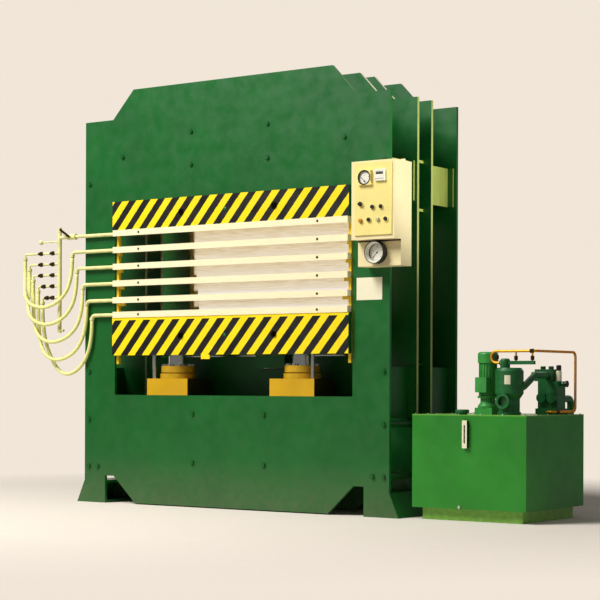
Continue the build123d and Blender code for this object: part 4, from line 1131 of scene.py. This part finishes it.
class PRESS_OT_stage(bpy.types.Operator):
    """Set the floor, the lights, the world and the camera"""

    bl_idname = "press.stage"
    bl_label = "Stage"

    def execute(self, context):
        page = context.scene.press_colours.page
        self.floor(page)
        self.lights(context)
        self.world(context, page)
        self.camera(context)
        context.scene.view_settings.view_transform = "Standard"
        return {"FINISHED"}

    def floor(self, page):
        """A wide pale disc that fades into the backdrop."""
        solid = bmesh.new()
        bmesh.ops.create_circle(solid, cap_ends=True, segments=96, radius=40.0)
        floor = from_bmesh("floor", solid)
        # Backdrop paper: quite matt, so that it holds the shadow and no glare
        material, tree = new_material("floor_paper")
        place = node(tree, "TexCoord", output="Object")
        away = node(tree, "VectorMath", place, operation="LENGTH", output="Value")
        fade = node(tree, "MapRange", away, *FLOOR_FADE)
        paper = node(tree, "BsdfDiffuse", Color=tint(page, 0.9))
        clear = node(tree, "BsdfTransparent")
        shader = node(tree, "MixShader", fade, paper, clear)
        node(tree, "OutputMaterial", Surface=shader)
        floor.data.materials.append(material)

    def lights(self, context):
        """A soft key high on the front left and a narrow light on the side of the control box."""
        for name, power, size, cone, spot, target in LIGHTS:
            lamp = bpy.data.lights.new(name, "SPOT" if cone else "AREA")
            lamp.energy = power
            if cone:
                lamp.shadow_soft_size = size
                lamp.spot_size = math.radians(cone)
                lamp.spot_blend = 0.7
            else:
                lamp.size = size
            holder = bpy.data.objects.new(name, lamp)
            holder.location = spot
            aim = Vector(target) - Vector(spot)
            holder.rotation_euler = aim.to_track_quat("-Z", "Y").to_euler()
            context.collection.objects.link(holder)

    def world(self, context, page):
        """Weak light from all round, and the page colour for the eye.

        Mirrors that look back and to the left see the page as well, so that metal shows it and
        the glossy enamel that faces the other ways keeps its colour.
        """
        world = bpy.data.worlds.new("studio")
        world.use_nodes = True
        tree = world.node_tree
        tree.nodes.clear()
        way = node(tree, "SeparateXYZ", node(tree, "TexCoord", output="Generated")).node.outputs
        back = node(tree, "Math", way[1], 0.0, operation="GREATER_THAN")
        left = node(tree, "Math", way[0], 0.0, operation="LESS_THAN")
        backwards = node(tree, "Math", back, left, operation="MULTIPLY")
        path = node(tree, "LightPath").node.outputs
        mirrored = node(tree, "Math", path["Is Glossy Ray"], backwards, operation="MULTIPLY")
        eye, through = path["Is Camera Ray"], path["Is Transmission Ray"]
        direct = node(tree, "Math", eye, through, operation="MAXIMUM")
        seen = node(tree, "Math", direct, mirrored, operation="MAXIMUM")
        light = node(tree, "Background", Color=(1, 1, 1, 1), Strength=SKY_STRENGTH)
        behind = node(tree, "Background", Color=page, Strength=1.0)
        node(tree, "OutputWorld", Surface=node(tree, "MixShader", seen, light, behind))
        context.scene.world = world

    def camera(self, context):
        """A long lens from the front right, near the height of a person's waist."""
        data = bpy.data.cameras.new("camera")
        data.sensor_width = 36.0
        data.lens = CAMERA_LENS
        data.shift_y = CAMERA_SHIFT
        camera = bpy.data.objects.new("camera", data)
        upright = Matrix.Rotation(math.radians(90.0), 4, "X")
        turn = Matrix.Rotation(math.radians(CAMERA_TURN), 4, "Z") @ upright
        roll = Matrix.Rotation(CAMERA_ROLL, 4, "Z")
        camera.matrix_world = Matrix.Translation(CAMERA_PLACE) @ turn @ roll
        context.collection.objects.link(camera)
        context.scene.camera = camera


OPERATORS = (
    PRESS_OT_frame,
    PRESS_OT_opening,
    PRESS_OT_cylinders,
    PRESS_OT_water,
    PRESS_OT_control_box,
    PRESS_OT_power_unit,
    PRESS_OT_stage,
)


class PRESS_PT_panel(bpy.types.Panel):
    """Buttons for each group of pieces"""

    bl_idname = "PRESS_PT_panel"
    bl_label = "Press"
    bl_space_type = "VIEW_3D"
    bl_region_type = "UI"
    bl_category = "Press"

    def draw(self, context):
        for group in (context.scene.press_colours, context.scene.press_sizes):
            for name in group.bl_rna.properties.keys():
                if name not in ("rna_type", "name"):
                    self.layout.prop(group, name)
        for operator in OPERATORS:
            self.layout.operator(operator.bl_idname)


CLASSES = (PressColours, PressSizes, *OPERATORS, PRESS_PT_panel)


def register():
    """Register the classes and hang the settings on the scene."""
    for item in CLASSES:
        bpy.utils.register_class(item)
    bpy.types.Scene.press_colours = bpy.props.PointerProperty(type=PressColours)
    bpy.types.Scene.press_sizes = bpy.props.PointerProperty(type=PressSizes)


def unregister():
    """Take the settings and the classes away."""
    del bpy.types.Scene.press_sizes
    del bpy.types.Scene.press_colours
    for item in reversed(CLASSES):
        bpy.utils.unregister_class(item)


def main():
    """Build everything in order."""
    register()
    for operator in OPERATORS:
        group, name = operator.bl_idname.split(".")
        getattr(getattr(bpy.ops, group), name)()


if __name__ == "__main__":
    main()
